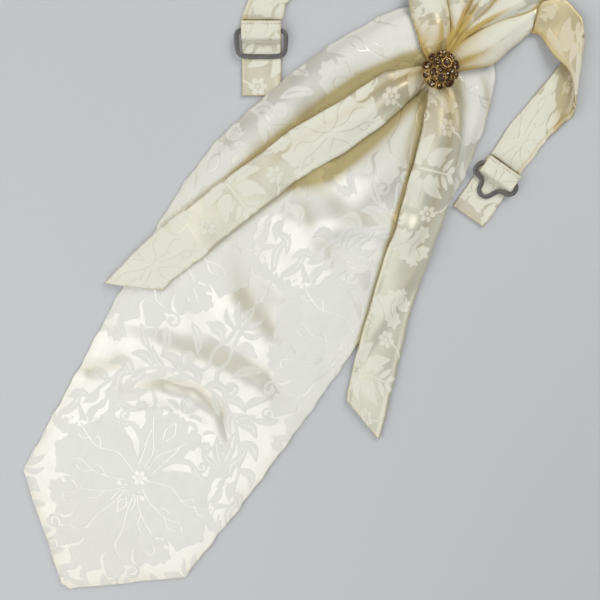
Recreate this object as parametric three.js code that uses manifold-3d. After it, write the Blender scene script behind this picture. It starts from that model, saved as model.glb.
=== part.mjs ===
// Ascot tie lying flat: a broad pointed apron, two narrow tails and a fan of gathered folds that meet
// under a round stone brooch, and a neckband in two straps, one with a wire hook and one with its eye.
// Millimetres, +Z up. The drawing frame has the brooch at x = 0, y = 0 and the apron pointing to -Y;
// the whole group is then moved so that the middle of its footprint is the origin.
import * as THREE from 'three';
import { mergeVertices } from 'three/addons/utils/BufferGeometryUtils.js';
import Module from 'manifold-3d';

// Cloth
const APRON_CLOTH = 2.0; // two layers of satin and an interlining
const TAIL_CLOTH = 1.8;
const STRAP_CLOTH = 1.6;
const LAYER_GAP = 0.6; // clearance between cloth that lies on cloth
const SEAM_GAP = 0.35; // clearance between pieces sewn edge to edge
const FOLD_INSET = 1.25; // a gathered fold's middle surface stops this far inside its lines, as it rolls over
const EDGE_DRAPE = 11; // how far past the apron's edge a tail takes to come down to the floor

// Apron
const APRON_TOP = 26;
const APRON_CORNER = -328; // where the straight sides turn in to the point
const APRON_TIP = -377;
const APRON_TIP_X = 3;
const APRON_TIP_HALF = 3; // half the width of the blunt point
const CORNER_LEFT = -59.5;
const CORNER_RIGHT = 59.5;

// Knot and brooch
const KNOT_RADIUS = 6.2;
const KNOT_BOTTOM = 4.8;
const KNOT_TOP = 14;
const BROOCH_RADIUS = 10.6;
const BROOCH_SEAT = 14.4; // underside of the brooch's plate
const POST_RADIUS = 0.8;
const CLUTCH_RADIUS = 3;
const CLUTCH_HEIGHT = 2;
const CLUTCH_BOTTOM = KNOT_BOTTOM + 1;
const CLUTCH_TOP = CLUTCH_BOTTOM + CLUTCH_HEIGHT;
const METAL_GAP = 0.3;
const CUT_PAST = 1; // how far a hollow's cutting shape runs past the face it opens

// Neckband ends
const BAND_WIDTH = 21.5;
const WIRE_WIDTH = 2.9;
const WIRE_HEIGHT = 1.4;
const TONGUE_CLOTH = 1.4;

const satin = () => new THREE.MeshStandardMaterial({ color: 0xece8da, roughness: 0.55, metalness: 0 });
const gold = () => new THREE.MeshStandardMaterial({ color: 0xb08d3c, roughness: 0.3, metalness: 1 });
const steel = () => new THREE.MeshStandardMaterial({ color: 0x5a5a58, roughness: 0.4, metalness: 0.9 });
const topaz = () => new THREE.MeshStandardMaterial({ color: 0x4a2f1c, roughness: 0.1, metalness: 0 });

const tie = new THREE.Group();

function addPiece(name, geometry, material) {
  const mesh = new THREE.Mesh(geometry, material);
  mesh.name = name;
  tie.add(mesh);
  return mesh;
}

function smoothstep(value, low, high) {
  const x = Math.min(Math.max((value - low) / (high - low), 0), 1);
  return x * x * (3 - 2 * x);
}

function signedVolume(positions, index) {
  let total = 0;
  const at = (i) => new THREE.Vector3().fromArray(positions, 3 * i);
  for (let i = 0; i < index.length; i += 3) {
    total += at(index[i]).dot(at(index[i + 1]).cross(at(index[i + 2])));
  }
  return total;
}

// Closed skin through rings with the same number of points. An open loft gets a cap at each end, made
// of quads between the ring's two halves, so a ring runs out along one face and back along the other.
function loft(rings, closed = false) {
  const size = rings[0].length;
  const positions = rings.flat().flatMap((p) => [p.x, p.y, p.z]);
  const index = [];
  const spans = closed ? rings.length : rings.length - 1;
  for (let i = 0; i < spans; i += 1) {
    const a = i * size;
    const b = ((i + 1) % rings.length) * size;
    for (let j = 0; j < size; j += 1) {
      const k = (j + 1) % size;
      index.push(a + j, b + j, b + k, a + j, b + k, a + k);
    }
  }
  if (!closed) {
    const end = (rings.length - 1) * size;
    for (let j = 0; j < size / 2 - 1; j += 1) {
      const k = size - 1 - j;
      index.push(j, j + 1, k - 1, j, k - 1, k);
      index.push(end + j, end + k - 1, end + j + 1, end + j, end + k, end + k - 1);
    }
  }
  if (signedVolume(positions, index) < 0) index.reverse();
  const geometry = new THREE.BufferGeometry();
  geometry.setAttribute('position', new THREE.Float32BufferAttribute(positions, 3));
  geometry.setIndex(index);
  geometry.computeVertexNormals();
  return geometry;
}

// Cloth of one thickness round a middle surface; surface(s, t) runs 0 to 1 along and across
function clothGeometry(surface, along, across, thickness) {
  const step = 1e-3;
  const rings = [];
  for (let i = 0; i <= along; i += 1) {
    const top = [];
    const bottom = [];
    for (let j = 0; j <= across; j += 1) {
      const s = i / along;
      const t = j / across;
      const s0 = Math.max(s - step, 0);
      const t0 = Math.max(t - step, 0);
      const middle = surface(s, t);
      const down = surface(Math.min(s0 + 2 * step, 1), t).sub(surface(s0, t));
      const over = surface(s, Math.min(t0 + 2 * step, 1)).sub(surface(s, t0));
      const out = down.cross(over).normalize().multiplyScalar(thickness / 2);
      top.push(middle.clone().add(out));
      bottom.unshift(middle.clone().sub(out));
    }
    rings.push([...top, ...bottom]);
  }
  return loft(rings);
}

// A curve through rows of one table column group, with each row at an equal step of its parameter
function columnCurve(rows, columns) {
  const points = rows.map((row) => new THREE.Vector3(...columns.map((c) => (c ? row[c] : 0))));
  return new THREE.CatmullRomCurve3(points, false, 'centripetal');
}

// Apron outline: where its two sides are at each height
const APRON_SIDES = [
  { y: 26, left: -26, right: 20 },
  { y: 16, left: -36, right: 29 },
  { y: 4, left: -43.5, right: 35 },
  { y: -16, left: -53, right: 42.5 },
  { y: -40, left: -62, right: 48.5 },
  { y: -68, left: -69.5, right: 52 },
  { y: -98, left: -76, right: 54.5 },
  { y: -130, left: -78, right: 56.5 },
  { y: -165, left: -76, right: 58 },
  { y: -210, left: -72, right: 59.5 },
  { y: -260, left: -66.5, right: 60.5 },
  { y: -300, left: -62.5, right: 60 },
  { y: -328, left: CORNER_LEFT, right: CORNER_RIGHT },
];

function sideAt(y, side) {
  const rows = APRON_SIDES;
  let i = 0;
  while (i < rows.length - 2 && rows[i + 1].y > y) i += 1;
  const before = rows[Math.max(i - 1, 0)];
  const after = rows[Math.min(i + 2, rows.length - 1)];
  const a = rows[i];
  const b = rows[i + 1];
  const slopeA = (b[side] - before[side]) / (b.y - before.y);
  const slopeB = (after[side] - a[side]) / (after.y - a.y);
  const span = b.y - a.y;
  const u = Math.min(Math.max((y - a.y) / span, 0), 1);
  const eased = u * u * (3 - 2 * u);
  const bendA = u * (1 - u) * (1 - u) * slopeA * span;
  const bendB = u * u * (u - 1) * slopeB * span;
  return a[side] + (b[side] - a[side]) * eased + bendA + bendB;
}

// Left and right edge of the apron at a height, the point included
function apronEdges(y) {
  if (y >= APRON_CORNER) return [sideAt(y, 'left'), sideAt(y, 'right')];
  const u = (APRON_CORNER - y) / (APRON_CORNER - APRON_TIP);
  const left = CORNER_LEFT + (APRON_TIP_X - APRON_TIP_HALF - CORNER_LEFT) * u;
  const right = CORNER_RIGHT + (APRON_TIP_X + APRON_TIP_HALF - CORNER_RIGHT) * u;
  return [left, right];
}

// Raised folds of the apron: a crest line with its height at each point, and how wide the fold is
const APRON_FOLDS = [
  // rounded billow down the left side
  { width: 11, crest: [[-20, 16, 2], [-33, 2, 5], [-44, -20, 7], [-55, -50, 7.5], [-62, -85, 5], [-66, -125, 2]] },
  // small pleat between the billow and the left tail
  { width: 4, crest: [[-12, 2, 2.5], [-24, -6, 2]] },
  // crest that runs down from the brooch between the tails
  { width: 13, crest: [[6, -22, 2.5], [8, -50, 4.5], [4, -85, 2.5], [-4, -120, 0.5]] },
  // right shoulder beside the right tail
  { width: 8, crest: [[22, 14, 2], [34, -8, 3.5], [44, -34, 2.5], [48, -60, 1]] },
  // broad soft waves across the flat part
  { width: 15, crest: [[-60, -158, 1.4], [-10, -150, 2], [40, -142, 1.2]] },
  { width: 16, crest: [[-55, -205, 1.2], [0, -196, 1.8], [48, -202, 1.2]] },
  { width: 17, crest: [[-50, -262, 1], [0, -250, 1.6], [46, -256, 1]] },
];

function foldHeight(fold, x, y) {
  let nearest = Infinity;
  let height = 0;
  for (let i = 0; i < fold.crest.length - 1; i += 1) {
    const [ax, ay, ah] = fold.crest[i];
    const [bx, by, bh] = fold.crest[i + 1];
    const length = (bx - ax) ** 2 + (by - ay) ** 2;
    const u = Math.min(Math.max(((x - ax) * (bx - ax) + (y - ay) * (by - ay)) / length, 0), 1);
    const distance = Math.hypot(x - ax - (bx - ax) * u, y - ay - (by - ay) * u);
    if (distance < nearest) {
      nearest = distance;
      height = ah + (bh - ah) * u;
    }
  }
  return height * Math.exp(-((nearest / fold.width) ** 2));
}

// Height of the apron's underside over the floor. What is left of a fold's skirt under this height is
// taken off, so the flat part lies truly flat.
const FLAT_BELOW = 0.25;

function apronLift(x, y) {
  const sum = APRON_FOLDS.reduce((total, fold) => total + foldHeight(fold, x, y), 0);
  return Math.max(sum - FLAT_BELOW, 0);
}

// Height of what a tail or fold lies on: the apron's top, easing down to the floor past its edges
function restingHeight(x, y) {
  const [left, right] = apronEdges(Math.max(y, APRON_TIP));
  const outside = Math.max(left - x, x - right, y - APRON_TOP, 0);
  const cover = 1 - smoothstep(outside, 1.5, EDGE_DRAPE);
  return cover * (apronLift(x, y) + APRON_CLOTH + LAYER_GAP);
}

function apron() {
  const bodyRows = 36;
  const pointRows = 5;
  const rows = bodyRows + pointRows;
  const surface = (s, t) => {
    const row = s * rows;
    const body = APRON_TOP + (APRON_CORNER - APRON_TOP) * Math.min(row / bodyRows, 1);
    const y = body + (APRON_TIP - APRON_CORNER) * Math.max((row - bodyRows) / pointRows, 0);
    const [left, right] = apronEdges(y);
    const x = left + (right - left) * t;
    return new THREE.Vector3(x, y, apronLift(x, y) + APRON_CLOTH / 2);
  };
  addPiece('apron', clothGeometry(surface, rows, 16, APRON_CLOTH), satin());
}

// A strip of cloth from a table of its two edges. lift is the least height of its middle surface over
// the floor, crown is how far its middle arches over its edges, and it lies on whatever is under it.
function strip(name, rows, { thickness, along, across, restsOnApron }) {
  const left = columnCurve(rows, ['lx', 'ly', '']);
  const right = columnCurve(rows, ['rx', 'ry', '']);
  const heights = columnCurve(rows, ['lift', 'crown', '']);
  const surface = (s, t) => {
    const point = left.getPoint(s).lerp(right.getPoint(s), t);
    const { x: lift, y: crown } = heights.getPoint(s);
    const ground = restsOnApron ? restingHeight(point.x, point.y) : 0;
    const arch = Math.max(crown, 0) * Math.sin(Math.PI * t);
    const seat = Math.max(ground + thickness / 2, thickness / 2);
    // the higher of the two, rounded where they cross
    const blend = Math.hypot(lift - seat, 1) / 2;
    point.z = (lift + seat) / 2 + blend + arch;
    return point;
  };
  addPiece(name, clothGeometry(surface, along, across, thickness), satin());
}

const LEFT_TAIL = [
  { lx: -8.4, ly: -2.6, rx: -1.2, ry: -8.7, lift: 8.2, crown: 2.6 },
  { lx: -14, ly: -8, rx: -3, ry: -17, lift: 8, crown: 4 },
  { lx: -22, ly: -17, rx: -5, ry: -27, lift: 7, crown: 4.5 },
  { lx: -29, ly: -32, rx: -8, ry: -42, lift: 5.5, crown: 4 },
  { lx: -37, ly: -52, rx: -15, ry: -62, lift: 4, crown: 3 },
  { lx: -47, ly: -74, rx: -24, ry: -83, lift: 2, crown: 2 },
  { lx: -55, ly: -100, rx: -32, ry: -107, lift: 1, crown: 1.2 },
  { lx: -65, ly: -129, rx: -40, ry: -136, lift: 1, crown: 0.8 },
  { lx: -73, ly: -155, rx: -46, ry: -160, lift: 1, crown: 0.6 },
  { lx: -79, ly: -182, rx: -51, ry: -176, lift: 1, crown: 0.5 },
  { lx: -82.5, ly: -204, rx: -53, ry: -187, lift: 1, crown: 0.4 },
];

const RIGHT_TAIL = [
  { lx: 0.6, ly: -8.7, rx: 8.4, ry: -1.6, lift: 8.2, crown: 2.6 },
  { lx: 5, ly: -17, rx: 20, ry: -7, lift: 8, crown: 4 },
  { lx: 12, ly: -31, rx: 32, ry: -21, lift: 7, crown: 4.5 },
  { lx: 20, ly: -50, rx: 43, ry: -40, lift: 5, crown: 4 },
  { lx: 29, ly: -71, rx: 52, ry: -60, lift: 3, crown: 3 },
  { lx: 37, ly: -94, rx: 60, ry: -85, lift: 1, crown: 2.2 },
  { lx: 46, ly: -118, rx: 69, ry: -110, lift: 1, crown: 1.5 },
  { lx: 56, ly: -143, rx: 81, ry: -138, lift: 1, crown: 1 },
  { lx: 65, ly: -165, rx: 91, ry: -160, lift: 1, crown: 0.8 },
  { lx: 72, ly: -178, rx: 102.5, ry: -186.5, lift: 1, crown: 0.5 },
];

const UPPER_FLAP = [
  { lx: -8.6, ly: 1.6, rx: -3.4, ry: 8, lift: 8.6, crown: 2.2 },
  { lx: -14, ly: 4, rx: -5, ry: 14.5, lift: 8.4, crown: 3.4 },
  { lx: -22, ly: 9, rx: -8, ry: 21, lift: 8, crown: 4 },
  { lx: -29, ly: 14.5, rx: -13, ry: 27, lift: 7.4, crown: 4 },
  { lx: -35, ly: 21, rx: -20, ry: 33, lift: 5.5, crown: 3.6 },
  { lx: -42, ly: 33, rx: -29, ry: 44, lift: 3, crown: 2.6 },
  { lx: -48, ly: 45, rx: -38.5, ry: 54.5, lift: 1.6, crown: 1.4 },
  { lx: -51.6, ly: 54, rx: -49.8, ry: 60.2, lift: 1.2, crown: 0.6 },
];

const CROSS_BAND = [
  { lx: -1, ly: 8.8, rx: 6.9, ry: 5.4, lift: 8.6, crown: 2.2 },
  { lx: -0.2, ly: 17, rx: 14, ry: 12, lift: 8.4, crown: 3.4 },
  { lx: 4.8, ly: 29.6, rx: 21.5, ry: 20.5, lift: 7.4, crown: 4 },
  { lx: 11.6, ly: 41.6, rx: 24, ry: 33, lift: 5, crown: 3.4 },
  { lx: 18, ly: 51, rx: 27, ry: 41.5, lift: 2.6, crown: 2.4 },
  { lx: 22.8, ly: 61.3, rx: 28.6, ry: 47.6, lift: 1.2, crown: 1 },
];

// Lines between the gathered folds that fan up from the knot and turn into the left strap
const GATHER_LINES = [
  { ax: -7, ay: 21.6, bx: -4.2, by: 22.4, cx: -1.8, cy: 23, dx: 0.6, dy: 23.4, lift: 5.8, crown: 1.2 },
  { ax: -11.6, ay: 27.4, bx: -5.2, by: 30, cx: -0.8, cy: 31, dx: 3.2, dy: 31, lift: 5.4, crown: 2.6 },
  { ax: -18.6, ay: 34.4, bx: -8, by: 41, cx: 2.5, cy: 45, dx: 12, dy: 45.4, lift: 4, crown: 4 },
  { ax: -28, ay: 45, bx: -15, by: 53, cx: 2, cy: 57, dx: 21.4, dy: 59, lift: 2.4, crown: 4 },
  { ax: -37.6, ay: 55.6, bx: -27, by: 63, cx: -9, cy: 69, dx: 19, dy: 77, lift: 1.6, crown: 3.4 },
  { ax: -44, ay: 58.8, bx: -38, by: 66.6, cx: -26, cy: 74, dx: -14, dy: 87, lift: 1.4, crown: 2.2 },
  { ax: -49.6, ay: 61, bx: -47.8, by: 67, cx: -46, cy: 73.2, dx: -43.8, dy: 80, lift: 1.2, crown: 0.8 },
];

function gatheredFold(name, from, to) {
  const rows = GATHER_LINES.map((row) => {
    const left = new THREE.Vector3(row[`${from}x`], row[`${from}y`], 0);
    const right = new THREE.Vector3(row[`${to}x`], row[`${to}y`], 0);
    const inward = right.clone().sub(left).setLength(FOLD_INSET);
    left.add(inward);
    right.sub(inward);
    return { lx: left.x, ly: left.y, rx: right.x, ry: right.y, lift: row.lift, crown: row.crown };
  });
  strip(name, rows, { thickness: TAIL_CLOTH, along: 16, across: 6, restsOnApron: true });
}

// Straps keep one width, so their two edges are tabled with their height. ox to oz is the edge that is
// outermost at the shoulder, ix to iz the innermost one.
const RIGHT_STRAP = [
  { ox: 23, oy: 62.6, oz: 1.2, ix: 29.6, iy: 48.3, iz: 1.2 },
  { ox: 32, oy: 69, oz: 1.6, ix: 33.5, iy: 49, iz: 1.6 },
  { ox: 40, oy: 68, oz: 3, ix: 39.5, iy: 46.5, iz: 3.2 },
  { ox: 46, oy: 65.5, oz: 4.6, ix: 48, iy: 44.6, iz: 5 },
  { ox: 50, oy: 63, oz: 5.2, ix: 60, iy: 41.6, iz: 5.6 },
  { ox: 52.6, oy: 60.8, oz: 5.2, ix: 70, iy: 33, iz: 5.4 },
  { ox: 54.4, oy: 60, oz: 4.6, ix: 73.6, iy: 28, iz: 4.7 },
  { ox: 55, oy: 59, oz: 3.2, ix: 75, iy: 25.4, iz: 3.2 },
  { ox: 54.2, oy: 57.6, oz: 1.7, ix: 74.6, iy: 22.8, iz: 1.7 },
  { ox: 52.6, oy: 53, oz: 1.1, ix: 73.6, iy: 19, iz: 1.1 },
  { ox: 52, oy: 40, oz: 0.9, ix: 72.6, iy: 12, iz: 0.9 },
  { ox: 51, oy: 20, oz: 0.82, ix: 72, iy: 4, iz: 0.82 },
  { ox: 50.6, oy: 2, oz: 0.82, ix: 72, iy: -4, iz: 0.82 },
  { ox: 51, oy: -15.8, oz: 0.82, ix: 72.6, iy: -15.6, iz: 0.82 },
];

const LEFT_STRAP = [
  { ox: -44.6, oy: 80, oz: 1.2, ix: -52, iy: 54.4, iz: 1.2 },
  { ox: -58, oy: 80, oz: 1, ix: -60, iy: 57, iz: 1 },
  { ox: -74, oy: 75, oz: 0.83, ix: -69, iy: 54.5, iz: 0.83 },
  { ox: -90, oy: 64, oz: 0.83, ix: -77, iy: 47, iz: 0.83 },
  { ox: -101.5, oy: 46, oz: 0.83, ix: -83.5, iy: 35, iz: 0.83 },
  { ox: -108, oy: 24, oz: 0.83, ix: -87.5, iy: 19, iz: 0.83 },
  { ox: -110, oy: 0, oz: 0.83, ix: -88.5, iy: 2, iz: 0.83 },
  { ox: -108.5, oy: -20, oz: 0.83, ix: -87.8, iy: -13, iz: 0.83 },
  { ox: -102.2, oy: -39.8, oz: 0.83, ix: -84.8, iy: -27.1, iz: 0.83 },
];

function strap(name, rows, along) {
  const outer = columnCurve(rows, ['ox', 'oy', 'oz']);
  const inner = columnCurve(rows, ['ix', 'iy', 'iz']);
  const surface = (s, t) => outer.getPoint(s).lerp(inner.getPoint(s), t);
  addPiece(name, clothGeometry(surface, along, 4, STRAP_CLOTH), satin());
}

// Where a strap ends: the middle of its end and the way it points, turned from -Y
const BAND_ENDS = [
  { side: 'right', x: 61.8, y: -16.2, turn: 2, tongue: 34, crooked: true },
  { side: 'left', x: -93.3, y: -33.9, turn: 36, tongue: 39, crooked: false },
];

const LOOP_LENGTH = 10.5;
const LOOP_CLOTH = 1;
const LOOP_LOW = 1.8; // underside of the loop, over the tongue
const WIRE_BAR = 5.2; // how far down the loop the wire's straight bar lies
const WIRE_LEVEL = LOOP_LOW + LOOP_CLOTH + METAL_GAP + WIRE_HEIGHT / 2;

// The band's free end, one flat layer that runs on under the loop
function tongue(end) {
  const half = BAND_WIDTH / 2;
  const surface = (s, t) => new THREE.Vector3(
    -half + 2 * half * t,
    -SEAM_GAP - s * end.tongue,
    TONGUE_CLOTH / 2,
  );
  return clothGeometry(surface, 3, 2, TONGUE_CLOTH);
}

// The turned-back end sewn round the wire's bar: a cloth tube, flattened, open at the band's side
function wireLoop() {
  const half = BAND_WIDTH / 2;
  const radius = WIRE_HEIGHT / 2 + METAL_GAP + LOOP_CLOTH / 2;
  const reach = LOOP_LENGTH - radius - LOOP_CLOTH / 2 - SEAM_GAP;
  const bend = Math.PI * radius;
  const total = 2 * reach + bend;
  const surface = (s, t) => {
    const run = s * total;
    const x = -half + 2 * half * t;
    if (run < reach) return new THREE.Vector3(x, -SEAM_GAP - run, WIRE_LEVEL + radius);
    if (run > reach + bend) return new THREE.Vector3(x, -SEAM_GAP - (total - run), WIRE_LEVEL - radius);
    const angle = (run - reach) / radius;
    const y = -SEAM_GAP - reach - radius * Math.sin(angle);
    return new THREE.Vector3(x, y, WIRE_LEVEL + radius * Math.cos(angle));
  };
  return clothGeometry(surface, 14, 2, LOOP_CLOTH);
}

// Flat wire swept round a closed path that stays nearly level
function wireGeometry(points, steps) {
  const path = new THREE.CatmullRomCurve3(points, true, 'centripetal');
  const rings = [];
  const sides = 6;
  for (let i = 0; i < steps; i += 1) {
    const centre = path.getPoint(i / steps);
    const ahead = path.getTangent(i / steps);
    const side = new THREE.Vector3(-ahead.y, ahead.x, 0).normalize();
    const ring = [];
    for (let k = 0; k < sides; k += 1) {
      const angle = (2 * Math.PI * (k + 0.5)) / sides;
      const point = centre.clone().addScaledVector(side, Math.cos(angle) * WIRE_WIDTH / 2);
      point.z += Math.sin(angle) * WIRE_HEIGHT / 2;
      ring.push(point);
    }
    rings.push(ring);
  }
  return loft(rings, true);
}

// The hook's front is a W that catches the eye; the eye is a plain oblong. Each has its bar in the loop.
const HOOK_FRONT = [
  { x: -12.4, y: -6.8 }, { x: -13, y: -9.6 }, { x: -12.2, y: -12.2 }, { x: -9.6, y: -12.8 },
  { x: -6.6, y: -13.4 }, { x: -4.9, y: -15.6 }, { x: -4.4, y: -18.6 }, { x: -1.6, y: -20.6 },
  { x: 1.6, y: -19.8 }, { x: 3.6, y: -16.8 }, { x: 5.2, y: -13.8 }, { x: 8, y: -12.8 },
  { x: 11, y: -12.2 }, { x: 12.8, y: -10 }, { x: 12.4, y: -6.8 },
];
const EYE_FRONT = [
  { x: -13, y: -6.6 }, { x: -13.3, y: -12 }, { x: -12, y: -17.4 }, { x: -6, y: -18.6 },
  { x: 0, y: -18.6 }, { x: 6, y: -18.6 }, { x: 12, y: -17.4 }, { x: 13.3, y: -12 }, { x: 13, y: -6.6 },
];

function wirePiece(front) {
  const overTongue = TONGUE_CLOTH + METAL_GAP + 0.1 + WIRE_HEIGHT / 2;
  const droop = WIRE_LEVEL - overTongue;
  const points = front.map(({ x, y }) => {
    const z = WIRE_LEVEL - droop * smoothstep(-y, LOOP_LENGTH - 0.6, LOOP_LENGTH + 4);
    return new THREE.Vector3(x, y, z);
  });
  const bar = [10.6, 5, 0, -5, -10.6];
  bar.forEach((x) => points.push(new THREE.Vector3(x, -WIRE_BAR, WIRE_LEVEL)));
  return wireGeometry(points, 60);
}

function bandEnd(end) {
  const pieces = [
    [`${end.side}_tongue`, tongue(end), satin()],
    [`${end.side}_loop`, wireLoop(), satin()],
    [end.crooked ? 'hook' : 'eye', wirePiece(end.crooked ? HOOK_FRONT : EYE_FRONT), steel()],
  ];
  pieces.forEach(([name, geometry, material]) => {
    const mesh = addPiece(name, geometry, material);
    mesh.position.set(end.x, end.y, 0);
    mesh.rotation.z = THREE.MathUtils.degToRad(end.turn);
  });
}

const wasm = await Module();
wasm.setup();

function toSolid(geometry) {
  const bare = geometry.clone();
  bare.deleteAttribute('normal');
  bare.deleteAttribute('uv');
  const merged = mergeVertices(bare, 1e-4);
  const vertProperties = new Float32Array(merged.attributes.position.array);
  const triVerts = new Uint32Array(merged.index.array);
  return new wasm.Manifold(new wasm.Mesh({ numProp: 3, vertProperties, triVerts }));
}

function toGeometry(solid) {
  const { vertProperties, triVerts } = solid.getMesh();
  const geometry = new THREE.BufferGeometry();
  geometry.setAttribute('position', new THREE.Float32BufferAttribute(vertProperties, 3));
  geometry.setIndex([...triVerts]);
  geometry.computeVertexNormals();
  return geometry;
}

// A turned solid from a profile of radius and height that starts and ends on the axis
function turned(profile, sides) {
  const geometry = new THREE.LatheGeometry(profile.map(([r, z]) => new THREE.Vector2(r, z)), sides);
  return geometry.rotateX(Math.PI / 2);
}

function post() {
  return turned([
    [0, CLUTCH_BOTTOM], [CLUTCH_RADIUS, CLUTCH_BOTTOM], [CLUTCH_RADIUS, CLUTCH_TOP],
    [POST_RADIUS, CLUTCH_TOP], [POST_RADIUS, BROOCH_SEAT - METAL_GAP], [0, BROOCH_SEAT - METAL_GAP],
  ], 24);
}

// Gathered cloth under the brooch, hollowed for the brooch's post and its clutch
function knot() {
  const waist = (KNOT_BOTTOM + KNOT_TOP) / 2;
  const flat = KNOT_RADIUS - 1.5; // radius of its flat ends
  const shoulder = KNOT_RADIUS - 0.3; // radius where its side turns in to them
  const turnIn = 1.2; // height of that turn
  const wad = turned([
    [0, KNOT_BOTTOM], [flat, KNOT_BOTTOM], [shoulder, KNOT_BOTTOM + turnIn],
    [KNOT_RADIUS, waist], [shoulder, KNOT_TOP - turnIn], [flat, KNOT_TOP], [0, KNOT_TOP],
  ], 28);
  const roomTop = CLUTCH_TOP + METAL_GAP;
  const room = turned([
    [0, KNOT_BOTTOM - CUT_PAST], [CLUTCH_RADIUS + METAL_GAP, KNOT_BOTTOM - CUT_PAST],
    [CLUTCH_RADIUS + METAL_GAP, roomTop], [POST_RADIUS + METAL_GAP, roomTop],
    [POST_RADIUS + METAL_GAP, KNOT_TOP + CUT_PAST], [0, KNOT_TOP + CUT_PAST],
  ], 24);
  return toGeometry(toSolid(wad).subtract(toSolid(room)));
}

// Stones of the brooch by ring: how many, how far out, their diameter, and the angle of the first one
const STONE_RINGS = [
  { name: 'centre', count: 1, reach: 0, size: 3.2, first: 0 },
  { name: 'inner', count: 5, reach: 4.3, size: 4.5, first: 18 },
  { name: 'outer_large', count: 5, reach: 8.2, size: 4.8, first: 54 },
  { name: 'outer_small', count: 5, reach: 8.4, size: 3.6, first: 18 },
];
const DOME_RADIUS = 14; // the stones' seats lie on a sphere of this radius
const DOME_RISE = 7; // height of the sphere's top over the brooch's underside

function stoneSeat(ring, n) {
  const around = THREE.MathUtils.degToRad(ring.first + (360 / Math.max(ring.count, 1)) * n);
  const lean = Math.asin(ring.reach / DOME_RADIUS);
  const seat = new THREE.Matrix4().makeRotationZ(around);
  seat.multiply(new THREE.Matrix4().makeRotationY(lean));
  const drop = new THREE.Matrix4().makeTranslation(0, 0, DOME_RADIUS);
  const centre = new THREE.Matrix4().makeTranslation(0, 0, BROOCH_SEAT + DOME_RISE - DOME_RADIUS);
  return centre.multiply(seat).multiply(drop);
}

// Round brilliant: flat table, sloped crown, thin girdle and a pointed back, heights from its girdle
function stoneProfile(radius, grow) {
  const r = radius + grow;
  return [
    [0, -0.62 * radius - grow], [0.45 * r, -0.4 * radius - grow], [r, -0.06 * radius - grow * 0.4],
    [r, 0.06 * radius + grow], [0.62 * r, 0.36 * radius + grow], [0, 0.36 * radius + grow],
  ];
}

// Cup round a stone, heights from the stone's girdle: tapered below, straight round the girdle
function cup(radius) {
  const inner = radius + METAL_GAP;
  const wall = inner + 0.22;
  const bottom = -1.9;
  const rim = 0.1;
  return turned([[0, bottom], [inner * 0.9, bottom], [wall, -0.6], [wall, rim], [0, rim]], 10);
}

function brooch() {
  const rim = BROOCH_RADIUS;
  const plate = turned([
    [0, BROOCH_SEAT], [rim - 1, BROOCH_SEAT], [rim, BROOCH_SEAT + 0.7], [rim - 0.4, BROOCH_SEAT + 2],
    [rim * 0.7, BROOCH_SEAT + 3.7], [rim * 0.35, BROOCH_SEAT + 4.9], [0, BROOCH_SEAT + 5.3],
  ], 30);
  let setting = toSolid(plate);
  STONE_RINGS.forEach((ring) => {
    for (let n = 0; n < ring.count; n += 1) {
      setting = setting.add(toSolid(cup(ring.size / 2).applyMatrix4(stoneSeat(ring, n))));
    }
  });
  STONE_RINGS.forEach((ring) => {
    for (let n = 0; n < ring.count; n += 1) {
      const seat = stoneSeat(ring, n);
      const room = turned(stoneProfile(ring.size / 2, METAL_GAP), 10).applyMatrix4(seat);
      setting = setting.subtract(toSolid(room));
      const stone = turned(stoneProfile(ring.size / 2, 0), 8).applyMatrix4(seat);
      const cut = toGeometry(toSolid(stone));
      addPiece(`stone_${ring.name}_${n + 1}`, cut, topaz());
    }
  });
  addPiece('brooch_setting', toGeometry(setting), gold());
}

apron();
strip('left_tail', LEFT_TAIL, { thickness: TAIL_CLOTH, along: 30, across: 8, restsOnApron: true });
strip('right_tail', RIGHT_TAIL, { thickness: TAIL_CLOTH, along: 30, across: 8, restsOnApron: true });
strip('upper_flap', UPPER_FLAP, { thickness: TAIL_CLOTH, along: 18, across: 6, restsOnApron: true });
strip('cross_band', CROSS_BAND, { thickness: TAIL_CLOTH, along: 14, across: 6, restsOnApron: true });
gatheredFold('gather_left', 'a', 'b');
gatheredFold('gather_middle', 'b', 'c');
gatheredFold('gather_right', 'c', 'd');
strap('right_strap', RIGHT_STRAP, 52);
strap('left_strap', LEFT_STRAP, 24);
BAND_ENDS.forEach(bandEnd);
addPiece('knot', knot(), satin());
addPiece('brooch_post', toGeometry(toSolid(post())), gold());
brooch();

const footprint = new THREE.Box3().setFromObject(tie);
const middle = footprint.getCenter(new THREE.Vector3());
tie.position.set(-middle.x, -middle.y, 0);

export default tie;
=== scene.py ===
import math

import bpy
import numpy as np
from mathutils import Matrix, Vector


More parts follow.
